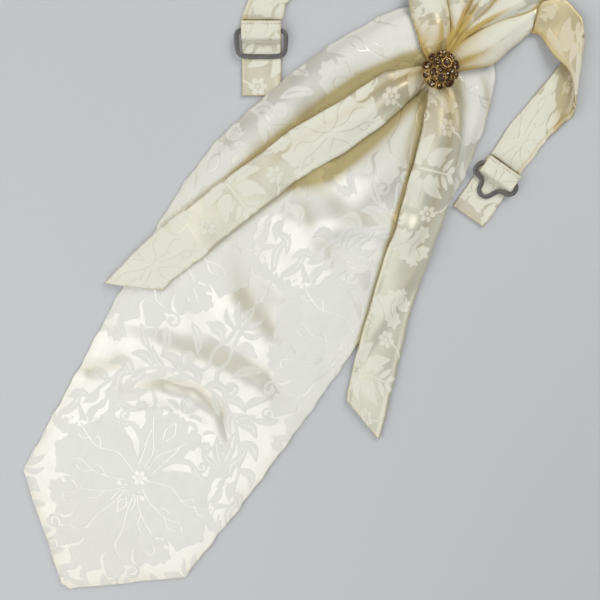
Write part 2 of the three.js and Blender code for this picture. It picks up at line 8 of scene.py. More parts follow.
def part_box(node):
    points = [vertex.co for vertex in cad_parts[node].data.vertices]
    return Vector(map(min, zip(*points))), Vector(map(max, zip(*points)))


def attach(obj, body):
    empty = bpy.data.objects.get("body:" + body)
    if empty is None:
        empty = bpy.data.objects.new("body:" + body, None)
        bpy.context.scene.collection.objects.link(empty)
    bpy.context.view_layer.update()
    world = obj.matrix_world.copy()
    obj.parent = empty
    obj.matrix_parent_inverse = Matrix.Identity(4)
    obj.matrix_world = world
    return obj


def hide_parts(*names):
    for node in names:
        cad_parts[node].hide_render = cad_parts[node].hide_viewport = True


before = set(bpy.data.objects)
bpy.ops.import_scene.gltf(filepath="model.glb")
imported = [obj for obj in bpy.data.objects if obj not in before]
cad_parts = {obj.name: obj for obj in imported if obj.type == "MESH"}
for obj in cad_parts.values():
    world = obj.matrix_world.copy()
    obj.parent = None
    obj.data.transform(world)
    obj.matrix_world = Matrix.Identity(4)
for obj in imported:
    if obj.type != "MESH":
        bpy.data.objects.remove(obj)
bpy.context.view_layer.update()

# Camera: the tie lies flat and is seen from above, tilted 10 degrees. Tables below are in mm from the
# brooch's centre, with the apron towards -Y, and in_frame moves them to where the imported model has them.
knot_low, knot_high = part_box("knot")
KNOT = np.array([(knot_low.x + knot_high.x) / 2, (knot_low.y + knot_high.y) / 2, 0.0])


def in_frame(points):
    """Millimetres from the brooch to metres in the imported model's frame."""
    return np.asarray(points, float) / 1000 + KNOT


def linked(name, data):
    """A new object of the scene, at the origin."""
    thing = bpy.data.objects.new(name, data)
    bpy.context.scene.collection.objects.link(thing)
    return thing


CAMERA_PLACE = (-30.2, -84.7, 428.4)
PICTURE_RIGHT = Vector((0.808, 0.589, 0)).normalized()
PICTURE_UP = Vector((-0.580, 0.796, -0.174)).normalized()
camera_data = bpy.data.cameras.new("camera")
camera_data.lens = 45
camera_data.sensor_width = 36
camera = linked("camera", camera_data)
turn = Matrix((PICTURE_RIGHT, PICTURE_UP, PICTURE_RIGHT.cross(PICTURE_UP))).transposed().to_4x4()
camera.matrix_world = Matrix.Translation(Vector(in_frame(CAMERA_PLACE))) @ turn
bpy.context.scene.camera = camera
bpy.context.scene.view_settings.view_transform = "Standard"

# Floor and light: a pale matt tabletop under a soft window light from the picture's upper right, a broad
# ceiling light from its lower left, a weak bounce from its left and a faint even room light.
FLOOR_SIZE = 5
FLOOR_LEVEL = -0.0003


def select_only(*things):
    bpy.ops.object.select_all(action="DESELECT")
    for thing in things:
        thing.select_set(True)
    if things:
        bpy.context.view_layer.objects.active = things[0]


def feed(tree, node, values):
    """Sets each named socket of a node, or links it to the socket that is given for it."""
    for label, value in values.items():
        if isinstance(value, bpy.types.NodeSocket):
            tree.links.new(value, node.inputs[label])
        else:
            node.inputs[label].default_value = value


def add_node(tree, kind, values, **settings):
    node = tree.nodes.new("ShaderNode" + kind)
    for setting, value in settings.items():
        setattr(node, setting, value)
    feed(tree, node, values)
    return node


def feed_shader(tree, values):
    feed(tree, tree.nodes["Principled BSDF"], values)


def mix_colours(tree, factor, a, b, blend="MIX"):
    values = {"Factor": factor, "A": a, "B": b}
    return add_node(tree, "Mix", values, data_type="RGBA", blend_type=blend).outputs["Result"]


def new_group(name, inputs, outputs):
    """An empty node group with named sockets, given as their kind and their names."""
    group = bpy.data.node_groups.new(name, "ShaderNodeTree")
    for in_out, sockets in (("INPUT", inputs), ("OUTPUT", outputs)):
        for kind, labels in sockets:
            for label in labels:
                group.interface.new_socket(label, in_out=in_out, socket_type="NodeSocket" + kind)
    return group, group.nodes.new("NodeGroupInput").outputs, group.nodes.new("NodeGroupOutput")


def new_material(name, values):
    """A node material whose shader has these values."""
    material = bpy.data.materials.new(name)
    material.use_nodes = True
    feed_shader(material.node_tree, values)
    return material


def mottle_group():
    """Node group: a tone and a roughness that change with a fine noise."""
    inputs = (("Vector", ("Place",)), ("Float", ("Scale", "Detail", "Dark Gloss", "Light Gloss")),
              ("Color", ("Dark", "Light")))
    group, given, result = new_group("mottle", inputs, (("Color", ("Color",)), ("Float", ("Roughness",))))
    noise_values = {"Vector": given["Place"], "Scale": given["Scale"], "Detail": given["Detail"]}
    spot = add_node(group, "TexNoise", noise_values).outputs["Fac"]
    tone = mix_colours(group, spot, given["Dark"], given["Light"])
    glosses = {"Value": spot, "To Min": given["Dark Gloss"], "To Max": given["Light Gloss"]}
    gloss = add_node(group, "MapRange", glosses)
    feed(group, result, {"Color": tone, "Roughness": gloss.outputs["Result"]})
    return group


mottle = mottle_group()


def mottled(name, values, scale, detail, dark, light, gloss=None):
    """Material mottled by a fine noise. gloss is its roughness where it is dark and where it is light."""
    material = new_material(name, values)
    tree = material.node_tree
    place = add_node(tree, "TexCoord", {}).outputs["Object"]
    spots = add_node(tree, "Group", {
        "Place": place, "Scale": scale, "Detail": detail, "Dark": (*dark, 1), "Light": (*light, 1),
    }, node_tree=mottle)
    feed_shader(tree, {"Base Color": spots.outputs["Color"]})
    if gloss:
        feed(tree, spots, {"Dark Gloss": gloss[0], "Light Gloss": gloss[1]})
        feed_shader(tree, {"Roughness": spots.outputs["Roughness"]})
    return material


select_only()
bpy.ops.mesh.primitive_plane_add(size=FLOOR_SIZE, location=(0, 0, FLOOR_LEVEL))
floor = bpy.context.object
floor.name = "floor"
matt = {"Roughness": 0.62, "Specular IOR Level": 0.3}
tabletop = mottled("pale_tabletop", matt, 900, 3, (0.535, 0.545, 0.56), (0.575, 0.585, 0.60))
floor.data.materials.append(tabletop)


def soft_light(name, right, up, height, size, power, colour):
    """Square lamp over the tie, placed by the picture's right and up in metres, facing the tie's middle."""
    lamp_data = bpy.data.lights.new(name, "AREA")
    lamp_data.size = size
    lamp_data.energy = power
    lamp_data.color = colour
    lamp = linked(name, lamp_data)
    middle = Vector(in_frame((-10, -120, 0)))
    across = Vector((PICTURE_RIGHT.x, PICTURE_RIGHT.y, 0))
    upward = Vector((-PICTURE_RIGHT.y, PICTURE_RIGHT.x, 0))
    place = middle + across * right + upward * up + Vector((0, 0, height))
    facing = (place - middle).to_track_quat("Z", "Y").to_matrix().to_4x4()
    lamp.matrix_world = Matrix.Translation(place) @ facing


soft_light("window", 0.62, 0.80, 0.80, 0.8, 8.4, (1.0, 0.985, 0.95))
soft_light("ceiling", -0.40, -0.47, 0.78, 1.35, 7.0, (1.0, 1.0, 0.99))
soft_light("bounce", -0.9, 0.1, 0.7, 0.8, 2.4, (0.97, 0.98, 1.0))
world = bpy.data.worlds.new("room")
world.use_nodes = True
feed(world.node_tree, world.node_tree.nodes["Background"], {"Color": (0.93, 0.96, 1.0, 1), "Strength": 0.25})
bpy.context.scene.world = world

# Apron: the broad front blade of ivory damask satin over an interlining, with rolled side edges. It is
# gathered under the brooch, billows up along its left side and lies in soft waves down to its point.
APRON_CLOTH = 2.0
LAYER_GAP = 0.6
APRON_TOP = 26
APRON_CORNER = -328
APRON_TIP = -377
# the apron's outline: y, then x of its left and right side
APRON_SIDES = np.array([
    (26, -26, 20), (16, -36, 29), (4, -43.5, 35), (-16, -53, 42.5), (-40, -62, 48.5), (-68, -69.5, 52),
    (-98, -76, 54.5), (-130, -78, 56.5), (-165, -76, 58), (-210, -72, 59.5), (-260, -66.5, 60.5),
    (-300, -62.5, 60), (-328, -59.5, 59.5),
], float)


def smoothstep(value, low, high):
    x = np.clip((value - low) / (high - low), 0, 1)
    return x * x * (3 - 2 * x)


def bell(distance, width):
    return np.exp(-((distance / width) ** 2))


def side_at(y, side):
    """Where the apron's left (1) or right (2) side is at a height."""
    heights, places = APRON_SIDES[:, 0], APRON_SIDES[:, side]
    i = np.clip(np.searchsorted(-heights, -y) - 1, 0, len(heights) - 2)
    before, after = np.maximum(i - 1, 0), np.minimum(i + 2, len(heights) - 1)
    slope_a = (places[i + 1] - places[before]) / (heights[i + 1] - heights[before])
    slope_b = (places[after] - places[i]) / (heights[after] - heights[i])
    span = heights[i + 1] - heights[i]
    u = np.clip((y - heights[i]) / span, 0, 1)
    eased = places[i] + (places[i + 1] - places[i]) * u * u * (3 - 2 * u)
    return eased + u * (1 - u) ** 2 * slope_a * span + u * u * (u - 1) * slope_b * span


def apron_edges(y):
    u = np.clip((APRON_CORNER - y) / (APRON_CORNER - APRON_TIP), 0, 1)
    body = np.maximum(y, APRON_CORNER)
    return side_at(body, 1) * (1 - u), side_at(body, 2) * (1 - u) + 6 * u


# Each fold is its width and its crest: x, y and height
APRON_FOLDS = (
    (11, ((-20, 16, 2), (-33, 2, 5.4), (-44, -20, 8), (-55, -50, 8.4), (-62, -85, 6), (-66, -125, 2))),
    (4, ((-12, 2, 2.5), (-24, -6, 2))),
    (11, ((6, -22, 3), (9, -50, 6), (5, -85, 3.8), (-4, -120, 0.6))),
    (8, ((22, 14, 2), (34, -8, 3.5), (44, -34, 2.5), (48, -60, 1))),
    (9, ((-14, -70, 1), (8, -62, 1.8), (30, -53, 1.5))),
    (8, ((-18, -112, 0.8), (4, -99, 2.6), (38, -78, 2.4))),
    (6, ((-16, -113, 0.5), (0, -118, 1), (15, -121, 0.6))),
    (9, ((-30, -160, 1.6), (-12, -172, 2.8), (12, -178, 2.4), (40, -172, 0.8))),
    (9, ((-58, -226, 1), (-36, -216, 3), (-8, -209, 4.2), (24, -204, 3.6), (50, -206, 0.8))),
    (6, ((-34, -258, 1.2), (-18, -238, 2.6), (-4, -233, 3.4), (15, -234, 3), (25, -242, 1.4))),
    (6, ((-62, -242, 1.8), (-44, -237, 1))),
    (6, ((-64, -259, 1.8), (-46, -252, 1))),
    (12, ((-40, -290, 1), (10, -280, 1.5), (46, -288, 1))),
    (14, ((-30, -345, 1), (20, -335, 0.9))),
)
# Faint waves over the whole cloth: wavelength, direction in degrees, start, height
SOFT_WAVES = ((41, 72, 0.3, 0.42), (29, 118, 1.7, 0.3), (21, 84, 4.0, 0.16), (15, 40, 2.2, 0.08))


def to_line(x, y, a, b):
    """How far points are from the line between a and b, and where along it they lie, from 0 to 1."""
    along_x, along_y = b[0] - a[0], b[1] - a[1]
    length = max(along_x ** 2 + along_y ** 2, 1e-9)
    u = np.clip(((x - a[0]) * along_x + (y - a[1]) * along_y) / length, 0, 1)
    return np.hypot(x - a[0] - along_x * u, y - a[1] - along_y * u), u


def fold_height(x, y, width, crest):
    nearest = np.full(np.shape(x), 1e9)
    height = np.zeros(np.shape(x))
    for a, b in zip(crest, crest[1:]):
        distance, u = to_line(x, y, a, b)
        closer = distance < nearest
        nearest = np.where(closer, distance, nearest)
        height = np.where(closer, a[2] + (b[2] - a[2]) * u, height)
    return height * bell(nearest, width)


def apron_lift(x, y):
    """Height of the apron's underside over the table."""
    total = sum(fold_height(x, y, width, crest) for width, crest in APRON_FOLDS)
    for wavelength, direction, start, height in SOFT_WAVES:
        a = math.radians(direction)
        along = x * math.cos(a) + y * math.sin(a)
        total = total + height * np.sin(2 * math.pi * along / wavelength + start)
    angle = np.arctan2(x, -y)
    reach = np.hypot(x, y)
    total = total + 0.6 * bell(reach - 18, 26) * np.cos(11 * angle + 2 * np.sin(2 * angle))
    left, right = apron_edges(y)
    inside = np.minimum(x - left, right - x)
    total = total + 5.5 * smoothstep(y, -205, -50) * smoothstep(inside, 0, 28)
    return np.maximum(total - 0.25, 0) * (0.3 + 0.7 * smoothstep(inside, 0, 8))


def resting_height(x, y):
    """Height of what a tail or fold lies on: the apron's top, easing to the table past its edges."""
    left, right = apron_edges(y)
    outside = np.maximum(np.maximum(left - x, x - right), np.maximum(y - APRON_TOP, 0))
    return (1 - smoothstep(outside, 1.5, 11)) * (apron_lift(x, y) + APRON_CLOTH + LAYER_GAP)


def apron_surface(s, t):
    y = APRON_TOP + (APRON_TIP - APRON_TOP) * s
    left, right = apron_edges(y)
    rim = np.abs(2 * t - 1) ** 14
    sway = (2 * t - 1) * rim * (0.3 * np.sin(y / 4.3 + 3 * t) + 0.22 * np.sin(y / 2.1))
    x = left + (right - left) * t + sway
    puckers = rim * (0.25 * np.sin(y / 3.7 + 2 * np.sin(y / 17)) + 0.3)
    return np.stack([x, y, apron_lift(x, y) + APRON_CLOTH / 2 + puckers], axis=-1)


# The damask's figures: half of one repeat, mirrored about u = 0, repeated each 127 mm across and 290 mm
# along, and again half a repeat over and up. A leaf, stem or curl is a stroke of points with a width.
REPEAT_ACROSS = 127
REPEAT_ALONG = 290
REPEAT_FOOT = -78
# lobes are u, v and radius; gaps, leaves and stems are points and a width
PEONY_LOBES = (
    (0, 6, 15), (5, 30, 11), (14, 39, 5.5), (3, 42, 5), (18, 17, 10), (27, 16, 8), (33, 11, 7.5),
    (22, -4, 14), (40, -2, 9), (46, -10, 7), (39, -18, 8.5), (30, -14, 10), (14, -24, 14), (31, -35, 9),
    (38, -33, 5), (24, -42, 8), (10, -46, 13), (18, -57, 6.5), (3, -61, 8), (0, -36, 14), (0, -16, 10),
    # crescent
    (4, 147, 3), (9, 147, 4.4), (14, 149, 5.6), (19, 153, 6.6), (23, 159, 7), (25, 166, 6.8),
    (25, 173, 5.8), (24, 179, 4.4),
)
PEONY_GAPS = (
    (((8, 11), (15, 19), (24, 23), (35, 23)), 4.6), (((33, 21), (36, 31), (27, 36), (21, 29)), 4.4),
    (((58, -25), (48, -30), (40, -25), (33, -22)), 2.4),
    (((35, -57), (32, -50), (24, -46), (20, -37)), 2.2), (((12, -70), (13, -62), (8, -56), (9, -49)), 1.9),
    # drops cut from the crescent
    (((10, 149), (13, 154), (12, 160)), 3), (((15, 151), (18, 157), (17, 164)), 3.4),
    (((19, 156), (22, 162), (21, 169)), 3.4), (((22, 163), (24, 170), (22, 176)), 3),
)
# stamens, petal veins and the little flower at the peony's heart
FINE_LINES = (
    ((1, 8), (2, 19), (7, 27), (13, 37)), ((5, 8), (7, 17), (9, 24), (10, 30)), ((1, 29), (3, 35), (0, 42)),
    ((5, 2), (12, 5), (20, 7), (31, 3), (39, 5), (47, 9)), ((29, 3), (33, 8), (36, 7)),
    ((37, 5), (42, 2), (45, 3)), ((5, -4), (14, -9), (26, -12), (35, -10), (40, -13)),
    ((18, -10), (23, -7), (27, -8)), ((26, -12), (31, -16), (36, -15)),
    ((5, -9), (8, -14), (15, -20), (26, -26)), ((13, -18), (15, -25), (20, -29)),
    ((3, -12), (5, -22), (9, -34), (10, -45)), ((0, -15), (2.5, -19), (0, -26)),
    ((2, -10), (6, -14), (7, -21)), ((4, -7), (7, -8), (9, -6)), ((9, -42), (14, -48), (20, -49)),
    ((28, -30), (33, -34), (31, -38), (27, -36)),
)
HEART = (0, 1, 4.2)
# distance given where no figure is near, mm
FAR = 3.0
LEAVES = (
    # bud over the spray
    (((0, 50), (3, 54), (6, 60)), 2.2),
    # ogee garland of three-lobed leaves
    (((2, 71), (8, 77), (17, 75)), 5.4), (((8, 70), (14, 65), (19, 61)), 4.4),
    (((15, 70), (22, 75), (31, 72)), 6), (((24, 66), (31, 68), (37, 74)), 5),
    (((22, 66), (25, 60), (31, 55)), 4.6), (((30, 63), (38, 66), (45, 62)), 6.4),
    (((33, 58), (34, 52), (39, 47)), 5), (((38, 53), (46, 56), (53, 50)), 6.4),
    (((43, 46), (42, 38), (46, 33)), 5), (((47, 40), (55, 41), (59, 34)), 5.6),
    (((50, 33), (49, 26), (53, 20)), 4.4), (((52, 26), (58, 24), (62, 17)), 5),
    # leaves at the peony's foot
    (((27, -58), (33, -65), (35, -74)), 5), (((38, -47), (47, -53), (52, -61)), 5.4),
    (((14, -65), (20, -71), (29, -75)), 4.6), (((45, -42), (54, -42), (61, -47)), 4.8),
    (((48, -62), (50, -68), (48, -75)), 4.2), (((2, -68), (5, -73), (12, -77)), 4),
    # small leaves beside the blossoms
    (((4, 50), (8, 53), (13, 52)), 2.8), (((5, 47), (10, 47), (14, 44)), 2.6),
    (((17, 45), (19, 49), (23, 51)), 2.4),
    # fleuron and bud over the double stem
    (((0, 112), (0, 120), (0, 128)), 5.4), (((1, 113), (6, 118), (9, 125)), 3.8),
    (((2, 110), (9, 112), (13, 118)), 3.4), (((0, 130), (0, 135), (0, 141)), 4.6),
    # leaves over the crescent
    (((25, 180), (20, 190), (21, 202)), 5.4), (((26, 181), (28, 192), (31, 202)), 5.4),
    (((27, 180), (34, 187), (39, 195)), 5.4), (((28, 178), (36, 179), (43, 183)), 4.8),
    (((2, 150), (7, 160), (6, 174)), 4.6), (((30, 166), (37, 168), (43, 173)), 5),
    # drooping leaves and their sprig
    (((3, 232), (10, 230), (15, 221)), 7), (((4, 236), (13, 238), (20, 233)), 5),
    (((2, 236), (5, 242), (11, 246)), 4.6), (((0, 222), (4, 218), (8, 215)), 2.6),
    (((0, 216), (2, 211), (3, 207)), 2.4),
    # teardrop sprigs beside the spray
    (((43, 13), (46, 18), (45, 25)), 3.4), (((45, 12), (50, 14), (55, 19)), 3),
    (((47, -1), (52, 2), (58, 2)), 2.6),
)
STEMS = (
    (((2, 71), (14, 70), (27, 64), (38, 53), (47, 40), (52, 24)), 1.8),
    (((1.6, 112), (2.2, 102), (5, 92), (3.4, 83), (8, 76), (14, 75)), 2.4), (((0, 128), (0, 150)), 1.4),
    (((0, 236), (0, 210)), 1.3), (((41, 6), (44, 14)), 1.1), (((23.5, 224), (14, 236)), 1),
)
# centre, radius, first angle, how far it turns (both in degrees), width
CURLS = (
    ((27.5, 28.5), 3.8, 230, 400, 1.7), ((46, -4), 3.6, 100, -400, 1.8), ((15, 80), 5, -90, 400, 2.4),
    ((11, 103), 5.4, 200, -410, 2.6), ((35, 92), 5, 30, 400, 2.2), ((22, -66), 4.4, 160, -380, 2),
    ((52, 96), 4.6, 200, -400, 2.2), ((44, 214), 5, 20, 410, 2.3),
)
BLOSSOMS = ((0, 57, 3.6), (23, 40, 3.3), (34, 188, 3.4), (24, 218, 3.6), (57, 66, 3.2))


def with_ends(points):
    """The points with one more at each end, as far on as the last step."""
    points = np.array(points, float)
    return np.vstack([2 * points[0] - points[1], points, 2 * points[-1] - points[-2]])


def smooth_run(points, count):
    """Points on a rounded line through the given ones."""
    knots = with_ends(points)
    run = np.linspace(0, len(points) - 1, count)
    i = np.minimum(run.astype(int), len(points) - 2)
    w = (run - i)[:, None]
    a, b, c, d = knots[i], knots[i + 1], knots[i + 2], knots[i + 3]
    curve = 2 * b + (c - a) * w + (2 * a - 5 * b + 4 * c - d) * w ** 2
    return 0.5 * (curve + (3 * b - a - 3 * c + d) * w ** 3)


def leaf_stroke(points, width):
    t = np.linspace(0, 1, 9)
    return smooth_run(points, 9), width / 2 * np.sin(math.pi * t ** 0.8) + 0.12


def stem_stroke(points, width):
    count = 4 * len(points)
    return smooth_run(points, count), np.full(count, width / 2)


def curl_stroke(centre, radius, first, turned, width):
    t = np.linspace(0, 1, 22)
    a = np.radians(first + turned * t)
    r = radius * (1 - 0.78 * t)
    run = np.stack([centre[0] + r * np.cos(a), centre[1] + r * np.sin(a)], axis=-1)
    return run, width / 2 * (0.55 + 0.75 * t ** 2)


def blossom_strokes(u, v, radius):
    petals = []
    for n in range(6):
        a = math.radians(60 * n + 30)
        run = [(u + radius * k * math.cos(a), v + radius * k * math.sin(a)) for k in (0.5, 0.72, 0.86)]
        petals.append((np.array(run), np.array([0.16, 0.33, 0.3]) * radius))
    petals.append((np.array([(u, v), (u + 0.01, v)]), np.array([0.2, 0.2]) * radius))
    return petals


def draw(u, v, best, strokes):
    """Lowers best to the distance from each point to the strokes' outlines, negative inside them."""
    for run, radii in strokes:
        margin = 3.5 + radii.max()
        near = (u > run[:, 0].min() - margin) & (u < run[:, 0].max() + margin)
        near &= (v > run[:, 1].min() - margin) & (v < run[:, 1].max() + margin)
        index = np.nonzero(near)[0]
        x, y, found = u[index], v[index], best[index]
        for k in range(len(run) - 1):
            distance, h = to_line(x, y, run[k], run[k + 1])
            found = np.minimum(found, distance - radii[k] - (radii[k + 1] - radii[k]) * h)
        best[index] = found
    return best


def peony_distance(u, v, lobes, gaps):
    """Lobed flower with bright scrolls cut between its petals."""
    flower = np.full(len(u), FAR)
    for lu, lv, radius in lobes:
        ripple = 0.75 * np.sin(6 * np.arctan2(v - lv, u - lu) + lu)
        flower = np.minimum(flower, np.hypot(u - lu, v - lv) - radius - ripple)
    return np.maximum(flower, -draw(u, v, np.full(len(u), FAR), [leaf_stroke(*gap) for gap in gaps]))


def figures(u, v, lobes, gaps, leaves, stems, curls, blossoms, lines, line_width, heart=None):
    """Distance to the figures' outline, and to their inner lines, with veins in the larger leaves."""
    motif = peony_distance(u, v, lobes, gaps)
    vein = draw(u, v, np.full(len(u), FAR), [stem_stroke(points, line_width) for points in lines])
    for points, width in leaves:
        run, radii = leaf_stroke(points, width)
        draw(u, v, motif, [(run, radii)])
        if width > 4.4 and line_width > 0.6:
            draw(u, v, vein, [(run[1:-2], np.full(len(run) - 3, 0.42))])
    draw(u, v, motif, [stem_stroke(*stem) for stem in stems] + [curl_stroke(*curl) for curl in curls])
    for bloom in blossoms:
        draw(u, v, motif, blossom_strokes(*bloom))
    if heart:
        draw(u, v, vein, blossom_strokes(*heart))
    return motif, vein


def apron_damask(u, v):
    """Distance to the figures' outline and to their inner lines, in mm, at each point."""
    best = None
    for shift_u, shift_v in ((0, 0), (REPEAT_ACROSS / 2, REPEAT_ALONG / 2)):
        fold = np.abs((u - shift_u + REPEAT_ACROSS / 2) % REPEAT_ACROSS - REPEAT_ACROSS / 2)
        wrap = (v - shift_v - REPEAT_FOOT) % REPEAT_ALONG + REPEAT_FOOT
        got = figures(fold, wrap, PEONY_LOBES, PEONY_GAPS, LEAVES, STEMS, CURLS, BLOSSOMS, FINE_LINES, 0.95,
                      HEART)
        best = got if best is None else (np.minimum(best[0], got[0]), np.minimum(best[1], got[1]))
    return best


HEM_STEPS = (0.0, 0.12, 0.35, 0.75, 1.3)
HEM = len(HEM_STEPS) - 1
UNDER_STEP = 4


def side_steps(length, spacing):
    """Places from 0 to 1 along a side, close together in the rolled hem at both ends."""
    inner = UNDER_STEP * max(1, round((length - 2 * HEM_STEPS[-1]) / spacing / UNDER_STEP))
    middle = np.linspace(HEM_STEPS[-1], length - HEM_STEPS[-1], inner + 1)
    ends = np.array(HEM_STEPS[:-1])
    return np.concatenate([ends, middle, length - ends[::-1]]) / length


def woven_piece(name, points, faces, u, v, drawn):
    """Piece of cloth, its points in mm. u and v are the weave's map; drawn is motif, vein and depth, where
    depth is painted shade.
    """
    mesh = bpy.data.meshes.new(name)
    mesh.from_pydata(in_frame(points).tolist(), [], faces)
    mesh.shade_smooth()
    for label, values in zip(("motif", "vein", "depth"), drawn):
        attribute = mesh.attributes.new(label, "FLOAT", "POINT")
        attribute.data.foreach_set("value", np.broadcast_to(values, len(points)).astype(np.float32))
    corner = np.zeros(len(mesh.loops), int)
    mesh.loops.foreach_get("vertex_index", corner)
    weave_map = mesh.uv_layers.new(name="weave")
    weave_map.data.foreach_set("uv", (np.stack([u, v], axis=-1)[corner] / 1000).ravel().astype(np.float32))
    return linked(name, mesh)


def cloth(name, surface, size, spacing, thickness, lay, damask, painted_shade):
    """Closed cloth round a middle surface, thinned to a rolled hem at its edges, underside in wider steps.
    lay gives the weave's own coordinates, damask its figures, and the last function the painted shade in its
    folds and along its edges."""
    s, t = np.meshgrid(side_steps(size[1], spacing), side_steps(size[0], spacing), indexing="ij")
    middle = surface(s, t)
    step = 1e-3
    down = surface(np.minimum(s + step, 1), t) - surface(np.maximum(s - step, 0), t)
    over = surface(s, np.minimum(t + step, 1)) - surface(s, np.maximum(t - step, 0))
    out = np.cross(down, over)
    out /= np.maximum(np.linalg.norm(out, axis=-1, keepdims=True), 1e-12)
    n, m = s.shape
    across, along = np.zeros((n, m)), np.zeros((n, m))
    across[:, 1:] = np.cumsum(np.linalg.norm(np.diff(middle, axis=1), axis=-1), axis=1)
    along[1:] = np.cumsum(np.linalg.norm(np.diff(middle, axis=0), axis=-1), axis=0)
    inside = np.minimum(np.minimum(across, across[:, -1:] - across), np.minimum(along, along[-1:] - along))
    roll = np.clip(inside / (0.6 * thickness), 0, 1)
    half = (thickness / 2 * np.sqrt(np.maximum(1 - (1 - roll) ** 2, 0)))[..., None]
    width_at = across - across[:, -1:] / 2
    length_at = np.repeat(along[:, m // 2][:, None], m, axis=1)
    top = (middle + out * half).reshape(-1, 3)
    number = np.arange(n * m).reshape(n, m)
    faces = np.stack([number[:-1, :-1], number[1:, :-1], number[1:, 1:], number[:-1, 1:]], axis=-1)
    faces = faces.reshape(-1, 4).tolist()
    rows, columns = ([*range(HEM), *range(HEM, k - HEM, UNDER_STEP), *range(k - HEM, k)] for k in (n, m))
    under = number.copy()
    kept = [(i, j) for i in rows[1:-1] for j in columns[1:-1]]
    for k, (i, j) in enumerate(kept):
        under[i, j] = n * m + k
    picked = tuple(np.array(kept).T)
    bottom = (middle - out * half)[picked]
    for a, b in zip(rows, rows[1:]):
        for c, d in zip(columns, columns[1:]):
            ring = [under[a, c]]
            ring += [number[a, k] for k in range(c + 1, d)] if a == 0 else []
            ring += [under[a, d]]
            ring += [number[k, d] for k in range(a + 1, b)] if d == m - 1 else []
            ring += [under[b, d]]
            ring += [number[b, k] for k in range(d - 1, c, -1)] if b == n - 1 else []
            ring += [under[b, c]]
            ring += [number[k, c] for k in range(b - 1, a, -1)] if c == 0 else []
            faces.append([int(k) for k in ring])
    laid = (*lay(middle, width_at, length_at), painted_shade(middle, width_at, length_at, inside))
    # depth here is the painted shade of folds and edges
    u, v, depth = (np.concatenate([values.ravel(), values[picked]]) for values in laid)
    drawn = (*damask(u, v), np.clip(depth, 0, 1))
    return woven_piece(name, np.vstack([top, bottom]), faces, u, v, drawn)


def finish_piece(piece, material, slot, *nodes):
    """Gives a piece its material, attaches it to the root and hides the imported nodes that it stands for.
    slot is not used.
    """
    piece.data.materials.clear()
    piece.data.materials.append(material)
    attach(piece, "root")
    if nodes:
        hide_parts(*nodes)


def damask_group():
    """Node group: colour with its painted crease shade, gloss, sheen strength and thread height of the
    figured satin.
    """
    inputs = (("Float", ("Motif", "Vein", "Depth")), ("Vector", ("Weave",)),
              ("Color", ("Ground", "Figure", "Painted Shade")))
    outputs = (("Color", ("Color",)), ("Float", ("Roughness", "Shine", "Height")))
    group, given, result = new_group("figured_satin", inputs, outputs)

    def step_of(socket, soft):
        ends = {"Value": socket, "From Min": soft, "From Max": -soft}
        return add_node(group, "MapRange", ends, interpolation_type="SMOOTHSTEP").outputs["Result"]

    def maths(operation, *values):
        return add_node(group, "Math", dict(enumerate(values)), operation=operation).outputs[0]

    def threads_of(kind, values, stretch=(1, 1, 1), **settings):
        turned = add_node(group, "Mapping", {"Vector": given["Weave"], "Scale": stretch})
        texture = add_node(group, kind, {"Vector": turned.outputs["Vector"], **values}, **settings)
        return texture.outputs["Fac"]

    figure = maths("ABSOLUTE", maths("SUBTRACT", step_of(given["Motif"], 0.2), step_of(given["Vein"], 0.2)))
    ground = maths("SUBTRACT", 1.0, figure)
    slub = threads_of("TexNoise", {"Scale": 260}, (1, 0.12, 1))
    shade = add_node(group, "MapRange", {"Value": slub, "To Min": 0.955, "To Max": 1.03})
    tone = mix_colours(group, figure, given["Ground"], given["Figure"])
    worn = add_node(group, "VectorMath", {0: tone, "Scale": shade.outputs["Result"]}, operation="SCALE")
    # painted shade falls lighter on a figure than on the ground where the shade is shallow
    shallow = maths("MAXIMUM", maths("SUBTRACT", 0.8, given["Depth"]), 0.0)
    shade_share = maths("MULTIPLY", given["Depth"], maths("SUBTRACT", 1.0, maths("MULTIPLY", figure, shallow)))
    warp = threads_of("TexWave", {"Scale": 520, "Distortion": 0.6}, (1, 0.04, 1))
    twill = threads_of("TexWave", {"Scale": 430, "Distortion": 0.4}, bands_direction="DIAGONAL")
    threads = maths("ADD", maths("MULTIPLY", warp, ground), maths("MULTIPLY", twill, figure))
    rough = maths("ADD", 0.37, maths("MULTIPLY", figure, 0.3))
    feed(group, result, {
        # the colour is darkened and warmed by the painted crease shade
        "Color": mix_colours(group, shade_share, worn.outputs["Vector"], given["Painted Shade"], "MULTIPLY"),
        "Height": maths("ADD", maths("MULTIPLY", threads, 0.14), maths("MULTIPLY", figure, 0.86)),
        "Roughness": maths("ADD", rough, maths("MULTIPLY", threads, 0.05)),
        "Shine": maths("SUBTRACT", 0.36, maths("MULTIPLY", figure, 0.33)),
    })
    return group


figured_satin = damask_group()


def satin(name, ground, figure, painted_shade):
    """The figured satin in the colours given for its ground, its figures and the painted shade in its
    creases. The pattern follows the cloth's map and attributes.
    """
    material = new_material(name, {"Specular IOR Level": 0.5, "Sheen Weight": 0.18, "Sheen Roughness": 0.45})
    tree = material.node_tree
    weave = add_node(tree, "Group", {
        "Ground": (*ground, 1), "Figure": (*figure, 1), "Painted Shade": (*painted_shade, 1),
        "Weave": add_node(tree, "UVMap", {}, uv_map="weave").outputs["UV"],
    }, node_tree=figured_satin)
    for label in ("motif", "vein", "depth"):
        drawn = add_node(tree, "Attribute", {}, attribute_name=label)
        feed(tree, weave, {label.capitalize(): drawn.outputs["Fac"]})
    woven = weave.outputs
    bump = add_node(tree, "Bump", {"Strength": 0.7, "Distance": 0.0002, "Height": woven["Height"]})
    feed_shader(tree, {
        "Base Color": woven["Color"], "Roughness": woven["Roughness"], "Metallic": woven["Shine"],
        "Normal": bump.outputs["Normal"],
    })
    return material


